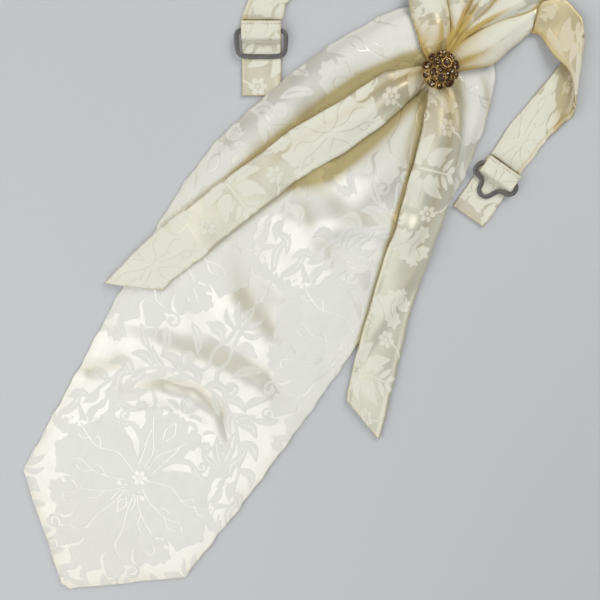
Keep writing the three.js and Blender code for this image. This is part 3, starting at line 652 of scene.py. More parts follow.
# the apron's ground, figure and painted crease shade colours
apron_satin = satin("apron_satin", (0.848, 0.84, 0.785), (0.782, 0.782, 0.73), (0.55, 0.46, 0.23))


PEONY_AT = -291
WEAVE_LEAN = 0.0377


def apron_lay(points, width_at, length_at):
    v = points[..., 1] - PEONY_AT
    return points[..., 0] + WEAVE_LEAN * v, v


# painted shade where the tails and the knot press the apron down into folds: x, y and how much shade
APRON_PAINTED_SHADE = (
    (5, ((-9, 5, 1.1), (-18, -6, 1.3), (-31, -28, 1.3), (-40, -52, 1.2), (-49, -78, 0.8), (-57, -106, 0.3))),
    (1.8, ((-9, -2, 0.9), (-22, -16, 0.9), (-30, -33, 0.9), (-47.5, -74, 0.7), (-65.5, -129, 0.5),
        (-73.5, -155, 0.3))),
    (6.5, ((-3, -14, 1.1), (-7, -40, 1.2), (-11.5, -62, 1.4), (-17, -78, 1.5), (-25, -89, 1.1),
        (-33, -97, 0.2))),
    (1.8, ((-2.5, -17, 1), (-7.5, -42, 1), (-23.5, -83, 0.7), (-39.5, -136, 0.35), (-45, -160, 0.2))),
    (2, ((4.5, -17, 1.2), (11.5, -31, 1.2), (19.5, -50, 1.1), (36.5, -94, 0.9), (55.5, -143, 0.7),
        (71, -176, 0.5))),
    (3, ((3, -14, 0.7), (8, -34, 0.5), (15, -52, 0.2))),
    (3, ((-12, 8, 0.8), (-22, 16, 0.6), (-30, 24, 0.3))),
    (4, ((12, 2, 0.9), (22, -6, 0.7), (30, -22, 0.4), (36, -40, 0.1))),
    (2.5, ((22, 12, 0.5), (34, 4, 0.4), (42, -10, 0.1))),
    # painted shade in the troughs of the soft waves
    (7, ((-36, -213, 0.16), (-10, -202, 0.34), (20, -195, 0.32), (40, -197, 0.1))),
    (5.5, ((-38, -250, 0.2), (-20, -231, 0.34), (-4, -225, 0.38), (15, -226, 0.34), (24, -237, 0.15))),
    (7, ((-30, -150, 0.2), (-15, -163, 0.44), (9, -169, 0.34))),
    (4.5, ((-12, -89, 0.2), (8, -91, 0.3), (38, -70, 0.3))),
    (4, ((-15, -102, 0.3), (-7, -106, 0.3))),
    (4, ((6, -110, 0.26), (16, -114, 0.26))),
    (5, ((-60, -252, 0.34), (-50, -236, 0.34))),
)


def apron_painted_shade(points, width_at, length_at, inside):
    x, y = points[..., 0], points[..., 1]
    depth = sum(fold_height(x, y, width, painted_shade) for width, painted_shade in APRON_PAINTED_SHADE)
    # the billow, the shoulder and the point are a little darker and warmer than the blade
    depth = depth + 0.15 * smoothstep(-y, 285, 350)
    depth = depth + 0.15 * smoothstep(-x, 8, 45) * smoothstep(y, -185, -120)
    depth = depth + 0.13 * smoothstep(x, 26, 42) * smoothstep(y, -110, -60)
    # and in the knot's shade between the tails
    depth = depth + 0.3 * bell(np.hypot(x - 7, y + 46), 20)
    # a narrow painted shade line along the rolled edge, and darker, warmer cloth in a broader band near the
    # edges
    return depth + 0.1 * bell(inside, 1.4) + 0.16 * bell(inside, 7)


apron = cloth("apron_cloth", apron_surface, (137, 403), 0.84, APRON_CLOTH, apron_lay, apron_damask,
              apron_painted_shade)
finish_piece(apron, apron_satin, "satin_damask", "apron")

# Tails: two narrow bands of the same satin, folded to a flat tube with soft rolled edges. Each is bunched
# under the brooch, lies across the apron, and is cut on the slant at its end.
TAIL_CLOTH = 1.8
# rows of a band, from the knot on: x and y of its left and right edge, then its lift and its crown
LEFT_TAIL = (
    (-8.4, -2.6, -1.2, -8.7, 8.2, 2.6), (-14, -8, -3, -17, 8, 4), (-22, -17, -5, -27, 7, 4.5),
    (-29, -32, -8, -42, 5.5, 4), (-37, -52, -15, -62, 4, 3), (-47, -74, -24, -83, 2, 2),
    (-55, -100, -32, -107, 1, 1.2), (-65, -129, -40, -136, 1, 0.8), (-73, -155, -46, -160, 1, 0.6),
    (-79, -182, -51, -176, 1, 0.5), (-82.5, -204, -53, -187, 1, 0.4),
)
RIGHT_TAIL = (
    (0.6, -8.7, 8.4, -1.6, 8.2, 2.6), (5, -17, 20, -7, 8, 4), (12, -31, 32, -21, 7, 4.5),
    (20, -50, 43, -40, 5, 4), (29, -71, 52, -60, 3, 3), (37, -94, 60, -85, 1, 2.2),
    (46, -118, 69, -110, 1, 1.5), (56, -143, 81, -138, 1, 1), (65, -165, 91, -160, 1, 0.8),
    (72, -178, 102.5, -186.5, 1, 0.5),
)


def curve_through(points):
    """Rounded curve through points whose spacing sets its pace, the points at equal steps of 0 to 1."""
    knots = with_ends(points)

    def at(s):
        run = np.clip(s, 0, 1) * (len(points) - 1)
        i = np.minimum(run.astype(int), len(points) - 2)
        w = (run - i)[..., None]
        p0, p1, p2, p3 = (knots[i + k] for k in range(4))
        pairs = ((p0, p1), (p1, p2), (p2, p3))
        d0, d1, d2 = (np.sqrt(np.linalg.norm(b - a, axis=-1, keepdims=True)) for a, b in pairs)
        d1 = np.where(d1 < 1e-4, 1.0, d1)
        d0 = np.where(d0 < 1e-4, d1, d0)
        d2 = np.where(d2 < 1e-4, d1, d2)
        t1 = ((p1 - p0) / d0 - (p2 - p0) / (d0 + d1) + (p2 - p1) / d1) * d1
        t2 = ((p2 - p1) / d1 - (p3 - p1) / (d1 + d2) + (p3 - p2) / d2) * d1
        c2 = -3 * p1 + 3 * p2 - 2 * t1 - t2
        c3 = 2 * p1 - 2 * p2 + t1 + t2
        return p1 + t1 * w + c2 * w ** 2 + c3 * w ** 3

    return at


def middle_length(left, right):
    return np.linalg.norm(np.diff((left + right) / 2, axis=0), axis=1).sum()


def band_surface(rows, thickness, relief):
    """Middle surface of a band that lies on the apron or the table; relief adds its own folds and rolls."""
    rows = np.array(rows, float)
    total = middle_length(rows[:, 0:2], rows[:, 2:4])
    left, right = curve_through(rows[:, 0:2]), curve_through(rows[:, 2:4])
    heights = curve_through(rows[:, 4:6])

    def surface(s, t):
        a, b = left(s), right(s)
        width = np.linalg.norm(b - a, axis=-1)
        sway, rise = relief(s * total, t, width)
        flat = a + (b - a) * (t + sway / np.maximum(width, 1))[..., None]
        lift, crown = heights(s)[..., 0], heights(s)[..., 1]
        seat = np.maximum(resting_height(flat[..., 0], flat[..., 1]), 0) + thickness / 2
        z = (lift + seat) / 2 + np.hypot(lift - seat, 1) / 2
        z = z + np.maximum(crown, 0) * np.sin(math.pi * t) + rise
        return np.concatenate([flat, np.maximum(z, thickness / 2)[..., None]], axis=-1)

    return surface


def rolled_edges(t, width, height):
    from_edge = np.minimum(t, 1 - t) * width
    return height * bell(from_edge - 1.3, 1.5)


def tail_relief(pleats, phase, valley_at, bulges):
    """Relief of a tail: pleats that fan out of the knot and die away, rolled edges and a slight sway."""
    def relief(q, t, width):
        sway = (2 * t - 1) * (0.24 * np.sin(q / 6.3 + phase) + 0.16 * np.sin(q / 3.1 + 2 * phase))
        fan = 0.85 * bell(q, 62) * np.sin(math.pi * t) ** 0.5
        rise = fan * np.cos(2 * math.pi * pleats * t + phase + 0.6 * np.sin(q / 14))
        rise = rise + rolled_edges(t, width, 0.42)
        rise = rise - 0.8 * bell((t - valley_at) * width, 4) * (1 - smoothstep(q, 60, 150))
        rise = rise + 0.28 * np.sin(q / 11 + 2.2 * t + phase) * smoothstep(q, 20, 70)
        rise = rise + 0.18 * np.sin(q / 5.2 - 3 * t + phase)
        for centre, width_along, height in bulges:
            skewed = q - centre + 9 * (t - 0.5)
            rise = rise + height * bell(skewed, width_along) * np.sin(math.pi * t) ** 0.7
        return sway, rise
    return relief


# The tails are cut across the figures: one group of drooping leaves with a blossom each side, then a
# peony, each 124 mm along; u runs along the tail and v across it.
TAIL_REPEAT = 124
TAIL_LOBES = (
    (62, 1, 11), (50, 8, 8), (51, -8, 8), (41, 1, 8), (60, 15, 6), (60, -14, 6), (38, -11, 5), (35, 11, 5),
)
TAIL_GAPS = ((((33, 5), (38, 5), (43, 8)), 1.6), (((40, -17), (43, -14), (48, -13)), 1.8))
TAIL_LINES = (
    ((62, 1), (56, 4), (52, 10), (46, 12)), ((62, -3), (57, -8), (55, -14)),
    ((60, 2), (52, 1), (45, 4), (40, 2)), ((59, -1), (50, -4), (43, -5), (38, -9)),
    ((62, 6), (60, 12), (56, 17)), ((47, -4), (46, -8), (42, -9)),
)
TAIL_LEAVES = (
    (((3, 4), (9, 1), (14, -8)), 7.4), (((5, 8), (13, 9), (20, 5)), 6), (((2, 9), (6, 13), (12, 14)), 4.8),
    (((1, -4), (5, -7), (9, -10)), 3.2), (((0, -8), (3, -11), (4, -14)), 2.8),
    (((2, 0), (6, -2), (8, -5)), 2.4),
)
TAIL_STEMS = ((((0, 10), (0, -10)), 1.3), (((23, -5), (21, -10), (16, -13)), 0.9))
TAIL_CURLS = (((30, 12), 3.6, 200, 380, 1.8),)
TAIL_BLOSSOMS = ((24, -2, 4.4),)

# the right tail shows a bud where the left one shows the peony
BUD_LOBES = (
    (36, -3, 4.5), (41, 2, 6), (44, 8, 4.5), (48, 1, 5), (46, -6, 4.5), (52, -3, 3), (38, 9, 3),
    (62, 9, 1.7), (66, -7, 2.4),
)
BUD_GAPS = ((((34, 4), (37, 3), (41, 5)), 1.6), (((41, -8), (42, -4), (45, -2)), 1.8))
BUD_LINES = (((38, -2), (43, 1), (49, 0)), ((41, 4), (44, 8), (46, 10)), ((45, -3), (48, -6), (52, -5)))


def band_damask(lobes, gaps, lines):
    def damask(u, v):
        fold = np.abs((u + TAIL_REPEAT / 2) % TAIL_REPEAT - TAIL_REPEAT / 2)
        tables = (lobes, gaps, TAIL_LEAVES, TAIL_STEMS, TAIL_CURLS, TAIL_BLOSSOMS, lines)
        return figures(fold, v, *tables, 0.5)
    return damask


tail_damask = band_damask(TAIL_LOBES, TAIL_GAPS, TAIL_LINES)
bud_damask = band_damask(BUD_LOBES, BUD_GAPS, BUD_LINES)


def band_piece(node, surface, size, spacing, thickness, start, depth, woven=tail_damask, over=1.0):
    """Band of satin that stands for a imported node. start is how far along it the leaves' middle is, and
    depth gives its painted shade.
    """
    def lay(points, width_at, length_at):
        return length_at - start, over * width_at

    piece = cloth(node + "_cloth", surface, size, spacing, thickness, lay, woven, depth)
    finish_piece(piece, shaded_satin, "satin_damask", node)
    return piece


def band_painted_shade(reach, amount, valley_at):
    """Painted shade where a band comes out of the knot, down its one soft valley and along its rolled edges.
    """
    def depth(points, width_at, length_at, inside):
        width = width_at.max(axis=1, keepdims=True) * 2
        off = width_at + (0.5 - valley_at) * width
        valley = 0.3 * bell(off, 3.2) * (1 - smoothstep(length_at, 60, 150))
        return amount * bell(length_at, reach) + valley + 0.42 * bell(inside, 1.1)
    return depth


# the bands' copy of the satin: its ground darker and its figures lighter than the apron's, as painted shade
# of the sheen turned from the light; its third colour is the painted crease shade
shaded_satin = satin("shaded_satin", (0.70, 0.68, 0.55), (0.775, 0.76, 0.645), (0.68, 0.50, 0.17))
# each tail: rows, flat size, pleats and their phase, where the figures start, the valley's share of the
# width, and its bulges as place, reach and height
TAILS = (
    ("left_tail", LEFT_TAIL, (29, 211), 2, 0.4, 122, tail_damask, 0.3,
     ((36, 13, 2.4), (88, 11, 1.6), (150, 16, 1.2))),
    ("right_tail", RIGHT_TAIL, (31, 204), 1.5, 2.1, 47, bud_damask, 0.66,
     ((48, 12, 1.6), (100, 14, 1.4), (160, 15, 1.2))),
)
for node, rows, size, pleats, phase, start, woven, valley_at, bulges in TAILS:
    surface = band_surface(rows, TAIL_CLOTH, tail_relief(pleats, phase, valley_at, bulges))
    depth = band_painted_shade(26, 0.5, valley_at)
    tail = band_piece(node, surface, size, 0.52, TAIL_CLOTH, start, depth, woven, -1.0)

# Upper folds: the flap over the brooch, the band that crosses to the right neckband, and three gathered
# folds behind them that fan up and turn into the left neckband. All are the same satin, rolled soft.
UPPER_FLAP = (
    (-8.6, 1.6, -3.4, 8, 8.6, 2.2), (-14, 4, -5, 14.5, 8.4, 3.4), (-22, 9, -8, 21, 8, 4),
    (-29, 14.5, -13, 27, 7.4, 4), (-35, 21, -20, 33, 5.5, 3.6), (-42, 33, -29, 44, 3, 2.6),
    (-48, 45, -38.5, 54.5, 1.6, 1.4), (-51.6, 54, -49.8, 60.2, 1.2, 0.6),
)
CROSS_BAND = (
    (-1, 8.8, 6.9, 5.4, 8.6, 2.2), (-0.2, 17, 14, 12, 8.4, 3.4), (4.8, 29.6, 21.5, 20.5, 7.4, 4),
    (11.6, 41.6, 24, 33, 5, 3.4), (18, 51, 27, 41.5, 2.6, 2.4), (22.8, 61.3, 28.6, 47.6, 1.2, 1),
)
# four lines between the gathered folds, x and y each, then the folds' lift and crown
GATHER_LINES = (
    (-5.2, 9.5, -3.4, 10.2, -1.6, 10.6, 0.2, 10.8, 5.4, 0.8),
    (-7, 21.6, -4.2, 22.4, -1.8, 23, 0.6, 23.4, 5.8, 1.2),
    (-11.6, 27.4, -5.2, 30, -0.8, 31, 3.2, 31, 5.4, 2.6),
    (-18.6, 34.4, -8, 41, 2.5, 45, 12, 45.4, 4, 4),
    (-28, 45, -15, 53, 2, 57, 21.4, 59, 2.4, 4),
    (-37.6, 55.6, -27, 63, -9, 69, 19, 77, 1.6, 3.4),
    (-44, 58.8, -38, 66.6, -26, 74, -14, 87, 1.4, 2.2),
    (-49.6, 61, -47.8, 67, -46, 73.2, -43.8, 80, 1.2, 0.8),
)


def gather_rows(first):
    """Rows of one gathered fold. The outer two run on a little under the flap and the cross band."""
    rows = []
    for n, line in enumerate(GATHER_LINES):
        a = np.array(line[2 * first:2 * first + 2], float)
        b = np.array(line[2 * first + 2:2 * first + 4], float)
        inward = (b - a) / np.linalg.norm(b - a)
        tuck = 1.8 if 1 < n < 6 else 0.6
        left = a - inward * (tuck if first == 0 else -0.1)
        right = b + inward * (tuck if first == 2 else -0.1)
        rows.append((*left, *right, *line[8:]))
    return rows


def fold_relief(pleats, phase, round_by, tuck_at, tuck_length):
    """Relief of a gathered fold: round over its middle, pleated along it, with one tuck out of the knot."""
    def relief(q, t, width):
        sway = (2 * t - 1) * 0.3 * np.sin(q / 5.5 + phase)
        round_top = round_by * (np.sqrt(np.maximum(1 - (2 * t - 1) ** 2, 0)) - 0.4)
        rise = round_top + 0.55 * np.sin(math.pi * t) * np.cos(2 * math.pi * pleats * t + phase + q / 22)
        fading = 1 - smoothstep(q, tuck_length * 0.4, tuck_length)
        tuck = bell((t - tuck_at) * width, 1.3) * fading
        return sway, rise - 0.8 * tuck + 0.2 * np.sin(q / 6.1 + 3 * t + phase)
    return relief


def fold_painted_shade(edge, tuck_at, tuck_length):
    """Painted shade of a fold along its edges, along its tuck and where it comes out of the knot."""
    def depth(points, width_at, length_at, inside):
        width = width_at.max(axis=1, keepdims=True) * 2
        from_tuck = width_at + (0.5 - tuck_at) * width
        fading = 1 - smoothstep(length_at, tuck_length * 0.5, tuck_length)
        tuck = bell(from_tuck, 1.1) * fading
        return edge * bell(inside, 2.4) + 1.0 * tuck + 0.7 * bell(length_at, 20)
    return depth


# each fold: rows, flat size, pleats, phase, roundness, where the figures start, its tuck's share of the
# width and length, and how much painted shade its edges get
UPPER_FOLDS = (
    ("upper_flap", UPPER_FLAP, (17, 78), 1.0, 0.5, 0.5, 20, 0.6, 24, 0.5),
    ("cross_band", CROSS_BAND, (17, 60), 1.5, 1.9, 0.5, -38, 0.62, 32, 0.5),
    ("gather_left", gather_rows(0), (13, 78), 0.5, 0.9, 1.8, 60, 0.75, 44, 1.6),
    ("gather_middle", gather_rows(1), (16, 90), 1.0, 2.7, 2.0, 10, 0.4, 44, 1.6),
    ("gather_right", gather_rows(2), (22, 92), 1.5, 4.1, 2.0, 80, 0.55, 52, 1.6),
)
for node, rows, size, pleats, phase, round_by, start, tuck_at, tuck_length, edge in UPPER_FOLDS:
    surface = band_surface(rows, TAIL_CLOTH, fold_relief(pleats, phase, round_by, tuck_at, tuck_length))
    depth = fold_painted_shade(edge, tuck_at, tuck_length)
    fold = band_piece(node, surface, size, 0.5, TAIL_CLOTH, start, depth)

# Knot: the wad of gathered cloth that all the folds run into, tied tight round its waist. The brooch is
# pinned on its top, and only its pleated side shows under the brooch's rim.
KNOT_BOTTOM = 4.8
KNOT_TOP = 14.2
PLEATS = 17
KNOT_RINGS = 46
KNOT_SIDES = 12 * PLEATS
KNOT_PROFILE = (
    (0.0, 0.0), (4.5, 0.0), (7.2, 0.6), (8.6, 2.2), (8.3, 4.2), (7.4, 5.6), (7.9, 7.0), (7.6, 8.6),
    (5.6, 9.4), (0.0, 9.4),
)
outline = smooth_run(KNOT_PROFILE, KNOT_RINGS)
turn_at = np.arange(KNOT_SIDES) * 2 * math.pi / KNOT_SIDES
vertices, faces = [(0.0, 0.0, KNOT_BOTTOM)], []
for radius, height in outline[1:-1]:
    deep = 0.55 * min(radius / 7, 1)
    wave = deep * np.cos(PLEATS * turn_at + 1.5 * np.sin(3 * turn_at) + height / 4)
    for a, w in zip(turn_at, wave):
        r = max(radius + w, 0.05)
        vertices.append((r * math.cos(a), r * math.sin(a), KNOT_BOTTOM + height))
vertices.append((0.0, 0.0, KNOT_TOP))
top_ring = 1 + (KNOT_RINGS - 3) * KNOT_SIDES
for k in range(KNOT_SIDES):
    j = (k + 1) % KNOT_SIDES
    faces.append((0, 1 + j, 1 + k))
    for a in range(1, top_ring, KNOT_SIDES):
        faces.append((a + k, a + j, a + KNOT_SIDES + j, a + KNOT_SIDES + k))
    faces.append((top_ring + k, top_ring + j, len(vertices) - 1))
places = np.array(vertices)
turned = np.arctan2(places[:, 1], places[:, 0])
# the knot gets an even painted shade of 0.6, as it lies under the brooch's rim
knot = woven_piece("knot_cloth", vertices, faces, turned * 8, places[:, 2], (FAR, FAR, 0.6))
finish_piece(knot, shaded_satin, "satin_damask", "knot")

# Neckband: two flat straps of folded satin, seamed along one edge. The right one folds over itself half
# way down, so its lower stretch shows the seamed side; the left one runs round the neck in an arc.
STRAP_CLOTH = 1.6
# rows of a strap: its outer edge and its inner edge, x, y and height each
RIGHT_STRAP = (
    (22.4, 62, 1.3, 29, 47.7, 1.3), (31.5, 71, 1.6, 33.5, 49, 1.6), (41, 70.5, 3, 39.5, 46.5, 3.2),
    (47, 67.4, 4.6, 48, 44.6, 5), (50.6, 64, 5.2, 60, 41.6, 5.6), (52.6, 60.8, 5.2, 70, 33, 5.4),
    (54.4, 60, 4.6, 73.6, 28, 4.7), (55, 59, 3.2, 75, 25.4, 3.2), (54.2, 57.6, 1.7, 74.6, 22.8, 1.7),
    (52.6, 53, 1.1, 73.6, 19, 1.1), (52, 40, 0.9, 72.6, 12, 0.9), (51, 20, 0.82, 72, 4, 0.82),
    (50.6, 2, 0.82, 72, -4, 0.82), (51, -15.8, 0.82, 72.6, -15.6, 0.82),
)
LEFT_STRAP = (
    (-44.6, 80, 1.2, -52, 54.4, 1.2), (-58, 80, 1, -60, 57, 1), (-74, 75, 0.83, -69, 54.5, 0.83),
    (-90, 64, 0.83, -77, 47, 0.83), (-101.5, 46, 0.83, -83.5, 35, 0.83), (-108, 24, 0.83, -87.5, 19, 0.83),
    (-110, 0, 0.83, -88.5, 2, 0.83), (-108.5, -20, 0.83, -87.8, -13, 0.83),
    (-102.2, -39.8, 0.83, -84.8, -27.1, 0.83),
)


def strap_surface(rows, over_at, seam_at):
    """Strap from its two edges. Past over_at it shows its other side, so its puckers rise from there."""
    rows = np.array(rows, float)
    total = middle_length(rows[:, 0:2], rows[:, 3:5])
    outer, inner = curve_through(rows[:, 0:3]), curve_through(rows[:, 3:6])

    def surface(s, t):
        a, b = outer(s), inner(s)
        width = np.linalg.norm(b - a, axis=-1)
        q = s * total
        sway = (2 * t - 1) * (0.3 * np.sin(q / 2.9) + 0.2 * np.sin(q / 1.7 + 1))
        point = a + (b - a) * (t + sway / width)[..., None]
        puckers = 0.3 * np.sin(q / 1.9 + 2 * np.sin(q / 7))
        puckers = puckers * bell(np.abs(t - seam_at) * width, 5)
        valley = -0.16 * bell((t - seam_at) * width, 0.8)
        wrinkles = (0.5 * np.sin(q / 5.5 + 3 * t) + 0.25 * np.sin(q / 3.1 - 4 * t)) * np.sin(math.pi * t)
        relief = puckers + valley + wrinkles + rolled_edges(t, width, 0.22) + 0.35
        fold_near = bell((s - over_at) * total, 9) if over_at < 1 else np.zeros(np.shape(s))
        point[..., 2] = point[..., 2] + relief * (1 - fold_near)
        return point

    return surface


def strap_painted_shade(seam_at, under_at):
    """Painted shade along a strap's seam and its edges, near its top, under its own fold where it comes out,
    and a faint share all over.
    """
    def depth(points, width_at, length_at, inside):
        width = width_at.max(axis=1, keepdims=True) * 2
        from_seam = np.abs(width_at + width / 2 - seam_at * width)
        under = 0.5 * bell(length_at - under_at, 8) + 0.44 * (1 - smoothstep(length_at, 20, 58))
        return 0.1 + 0.5 * bell(from_seam, 0.9) + 0.3 * bell(inside, 1.0) + under
    return depth


# each strap: rows, flat size, where it folds over, its seam's share of the width, where the figures start
# and where it comes out from under its fold, where its painted shadow falls
STRAPS = (
    ("right_strap", RIGHT_STRAP, (21.5, 108), 0.56, 0.9, 30, 57),
    ("left_strap", LEFT_STRAP, (21.5, 139), 2.0, 0.1, 40, -40),
)
for node, rows, size, over_at, seam_at, start, under_at in STRAPS:
    surface = strap_surface(rows, over_at, seam_at)
    strap = band_piece(node, surface, size, 0.6, STRAP_CLOTH, start, strap_painted_shade(seam_at, under_at))

# Neckband ends: each strap's end is turned back and stitched round a wire bar as a flat loop, and the
# band's free end, one flat layer, runs on under it.
BAND_WIDTH = 21.5
SEAM_GAP = 0.35
METAL_GAP = 0.3
WIRE_HEIGHT = 1.4
TONGUE_CLOTH = 1.4
LOOP_LENGTH = 10.5
LOOP_CLOTH = 1.0
WIRE_LEVEL = 1.8 + LOOP_CLOTH + METAL_GAP + WIRE_HEIGHT / 2
LOOP_BEND = WIRE_HEIGHT / 2 + METAL_GAP + LOOP_CLOTH / 2


def at_band_end(points, end_x, end_y, turned):
    """Points given from the middle of a strap's end, moved to where that end is."""
    a = math.radians(turned)
    x, y = points[..., 0], points[..., 1]
    across, along = x * math.cos(a) - y * math.sin(a), x * math.sin(a) + y * math.cos(a)
    return np.stack([end_x + across, end_y + along, points[..., 2]], axis=-1)


def tongue_surface(length, end):
    def surface(s, t):
        x = BAND_WIDTH * (t - 0.5)
        y = -SEAM_GAP - s * length
        free = smoothstep(s * length, 12, 22)
        wave = 0.25 + 0.25 * np.sin(y / 4 + 2 * t) + rolled_edges(t, BAND_WIDTH, 0.3)
        z = TONGUE_CLOTH / 2 + free * wave
        return at_band_end(np.stack([x, y, z], axis=-1), *end)
    return surface


def loop_surface(end):
    reach = LOOP_LENGTH - LOOP_BEND - LOOP_CLOTH / 2 - SEAM_GAP
    bend = math.pi * LOOP_BEND
    total = 2 * reach + bend

    def surface(s, t):
        run = s * total
        angle = np.clip((run - reach) / LOOP_BEND, 0, math.pi)
        back = np.maximum(run - reach - bend, 0)
        y = -SEAM_GAP - np.minimum(run, reach) + back - LOOP_BEND * np.sin(angle)
        z = WIRE_LEVEL + LOOP_BEND * np.cos(angle)
        puff = np.where(run < reach + 1, 0.22 * np.sin(math.pi * t) + 0.12 * np.sin(16 * t + run / 2), 0)
        sewn = -0.45 * bell(run - 1.8, 0.6)
        x = BAND_WIDTH * (t - 0.5)
        return at_band_end(np.stack([x, y, z + puff + sewn], axis=-1), *end)

    return surface, total


# painted shade of a band's end: a faint share all over, and more along its rolled edges
def band_end_painted_shade(points, width_at, length_at, inside):
    return 0.12 + 0.4 * bell(inside, 0.8)


# each end: its place and turn, its tongue's length, and where the figures start on tongue and loop
BAND_ENDS = (
    ("right", (61.8, -16.2, 2), 34, 62, 76),
    ("left", (-93.3, -33.9, 36), 39, 10, 48),
)
for side, end, tongue_length, tongue_start, loop_start in BAND_ENDS:
    tongue_sides = tongue_surface(tongue_length, end)
    tongue = band_piece(side + "_tongue", tongue_sides, (BAND_WIDTH, tongue_length), 0.6, TONGUE_CLOTH,
                        tongue_start, band_end_painted_shade)
    loop_sides, loop_run = loop_surface(end)
    loop = band_piece(side + "_loop", loop_sides, (BAND_WIDTH, loop_run), 0.5, LOOP_CLOTH, loop_start,
                      band_end_painted_shade)

# Stitches that close each loop: a row of short thread stitches across the band, just past the strap's end.
STITCHES = 11
STITCH_RADIUS = 0.22
STITCH_LENGTH = 1.5
STITCH_PITCH = 1.9
STITCH_INSET = 1.8
# the thread is coloured well below ivory: painted shade of its stitches sunk in the loop
thread = new_material("thread_with_painted_shade", {"Roughness": 0.6, "Sheen Weight": 0.2})
thread_tree = thread.node_tree
thread_place = add_node(thread_tree, "TexCoord", {}).outputs["Object"]
ply = add_node(thread_tree, "TexWave", {"Vector": thread_place, "Scale": 900, "Distortion": 1.5})
ply_tone = mix_colours(thread_tree, ply.outputs["Fac"], (0.40, 0.33, 0.19, 1), (0.60, 0.53, 0.36, 1))
feed_shader(thread_tree, {"Base Color": ply_tone})


def add_ball(segments, rings, radius, place, turned=0.0):
    """A smooth ball, its radius in mm and its place in metres."""
    bpy.ops.mesh.primitive_uv_sphere_add(
        segments=segments, ring_count=rings, radius=radius / 1000, location=place, rotation=(0, 0, turned))
    bpy.ops.object.shade_smooth()
    return bpy.context.object


def joined(parts):
    select_only(*parts)
    bpy.ops.object.join()
    return bpy.context.object


for side, end, *_ in BAND_ENDS:
    stitches = []
    for k in range(STITCHES):
        across = (k - STITCHES // 2) * STITCH_PITCH
        local = np.array([across, -SEAM_GAP - STITCH_INSET, WIRE_LEVEL + LOOP_BEND + 0.24])
        place = in_frame(at_band_end(local, *end)).tolist()
        select_only()
        stitch = add_ball(10, 6, STITCH_RADIUS, place, math.radians(end[2]))
        stitch.name = side + "_stitches"
        bpy.ops.object.mode_set(mode="EDIT")
        bpy.ops.mesh.select_all(action="SELECT")
        bpy.ops.transform.resize(value=(STITCH_LENGTH / (2 * STITCH_RADIUS), 1, 1), orient_type="LOCAL")
        bpy.ops.object.mode_set(mode="OBJECT")
        bpy.ops.object.transform_apply(location=True, rotation=True, scale=True)
        stitches.append(stitch)
    finish_piece(joined(stitches), thread, "satin_damask")

# Hook and eye: flat gunmetal wire bent cold, a W-shaped hook on the right and an oblong eye on the left.
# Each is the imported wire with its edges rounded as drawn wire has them.
gunmetal = mottled("gunmetal_wire", {"Metallic": 0.35}, 700, 4, (0.105, 0.10, 0.095), (0.17, 0.163, 0.155),
                   (0.34, 0.52))
for node in ("hook", "eye"):
    wire = linked(node + "_wire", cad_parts[node].data.copy())
    select_only(wire)
    bpy.ops.object.mode_set(mode="EDIT")
    bpy.ops.mesh.select_all(action="SELECT")
    bpy.ops.mesh.remove_doubles(threshold=0.00001)
    bpy.ops.mesh.tris_convert_to_quads()
    bpy.ops.transform.shrink_fatten(value=0.00009)
    bpy.ops.object.mode_set(mode="OBJECT")
    rounding = wire.modifiers.new("rounding", "SUBSURF")
    rounding.levels = 2
    rounding.render_levels = 2
    bpy.ops.object.modifier_apply(modifier="rounding")
    bpy.ops.object.shade_smooth()
    finish_piece(wire, gunmetal, "gunmetal_wire", node)

# Brooch: a domed cast setting, antique gold, pinned through the knot by one post with a round foot. Its
# sixteen cups are soldered on, each with four prongs, and beads of the same gold fill between them.
BROOCH_SEAT = 14.4
DOME_RADIUS = 14
DOME_RISE = 7
CUP_WALL = 0.00022
PRONG_RADIUS = 0.36
# each ring of stones: its name, how many, distance from the middle, diameter, first angle
STONE_RINGS = (
    ("centre", 1, 0, 3.2, 0), ("inner", 5, 4.3, 4.5, 18), ("outer_large", 5, 8.2, 4.8, 54),
    ("outer_small", 5, 8.4, 3.6, 18),
)
# each ring of beads: how many, distance from the middle, first angle, radius
BEAD_RINGS = ((5, 5.2, 54, 0.55), (5, 2.55, 54, 0.46), (10, 6.6, 0, 0.5), (20, 10.0, 9, 0.42))
# the plate's steps over its rim: height, scale, turn
PLATE_STEPS = (
    (0.0004, 1.07, 0), (0.001, 0.985, 0), (0.0011, 0.86, 0), (0.0009, 0.78, 0), (0.0008, 0.66, 0),
    (0.0004, 0.3, 0),
)
gold = mottled("antique_gold", {"Metallic": 1.0}, 480, 5, (0.24, 0.14, 0.04), (0.66, 0.46, 0.17), (0.42, 0.2))


def stone_seat(reach, angle):
    """Where a stone sits: leaning out on the dome, its girdle at the seat's origin. In metres."""
    top = Matrix.Translation(Vector(in_frame((0, 0, BROOCH_SEAT + DOME_RISE - DOME_RADIUS))))
    round_by = Matrix.Rotation(math.radians(angle), 4, "Z")
    lean = Matrix.Rotation(math.asin(reach / DOME_RADIUS), 4, "Y")
    return top @ round_by @ lean @ Matrix.Translation((0, 0, DOME_RADIUS / 1000))


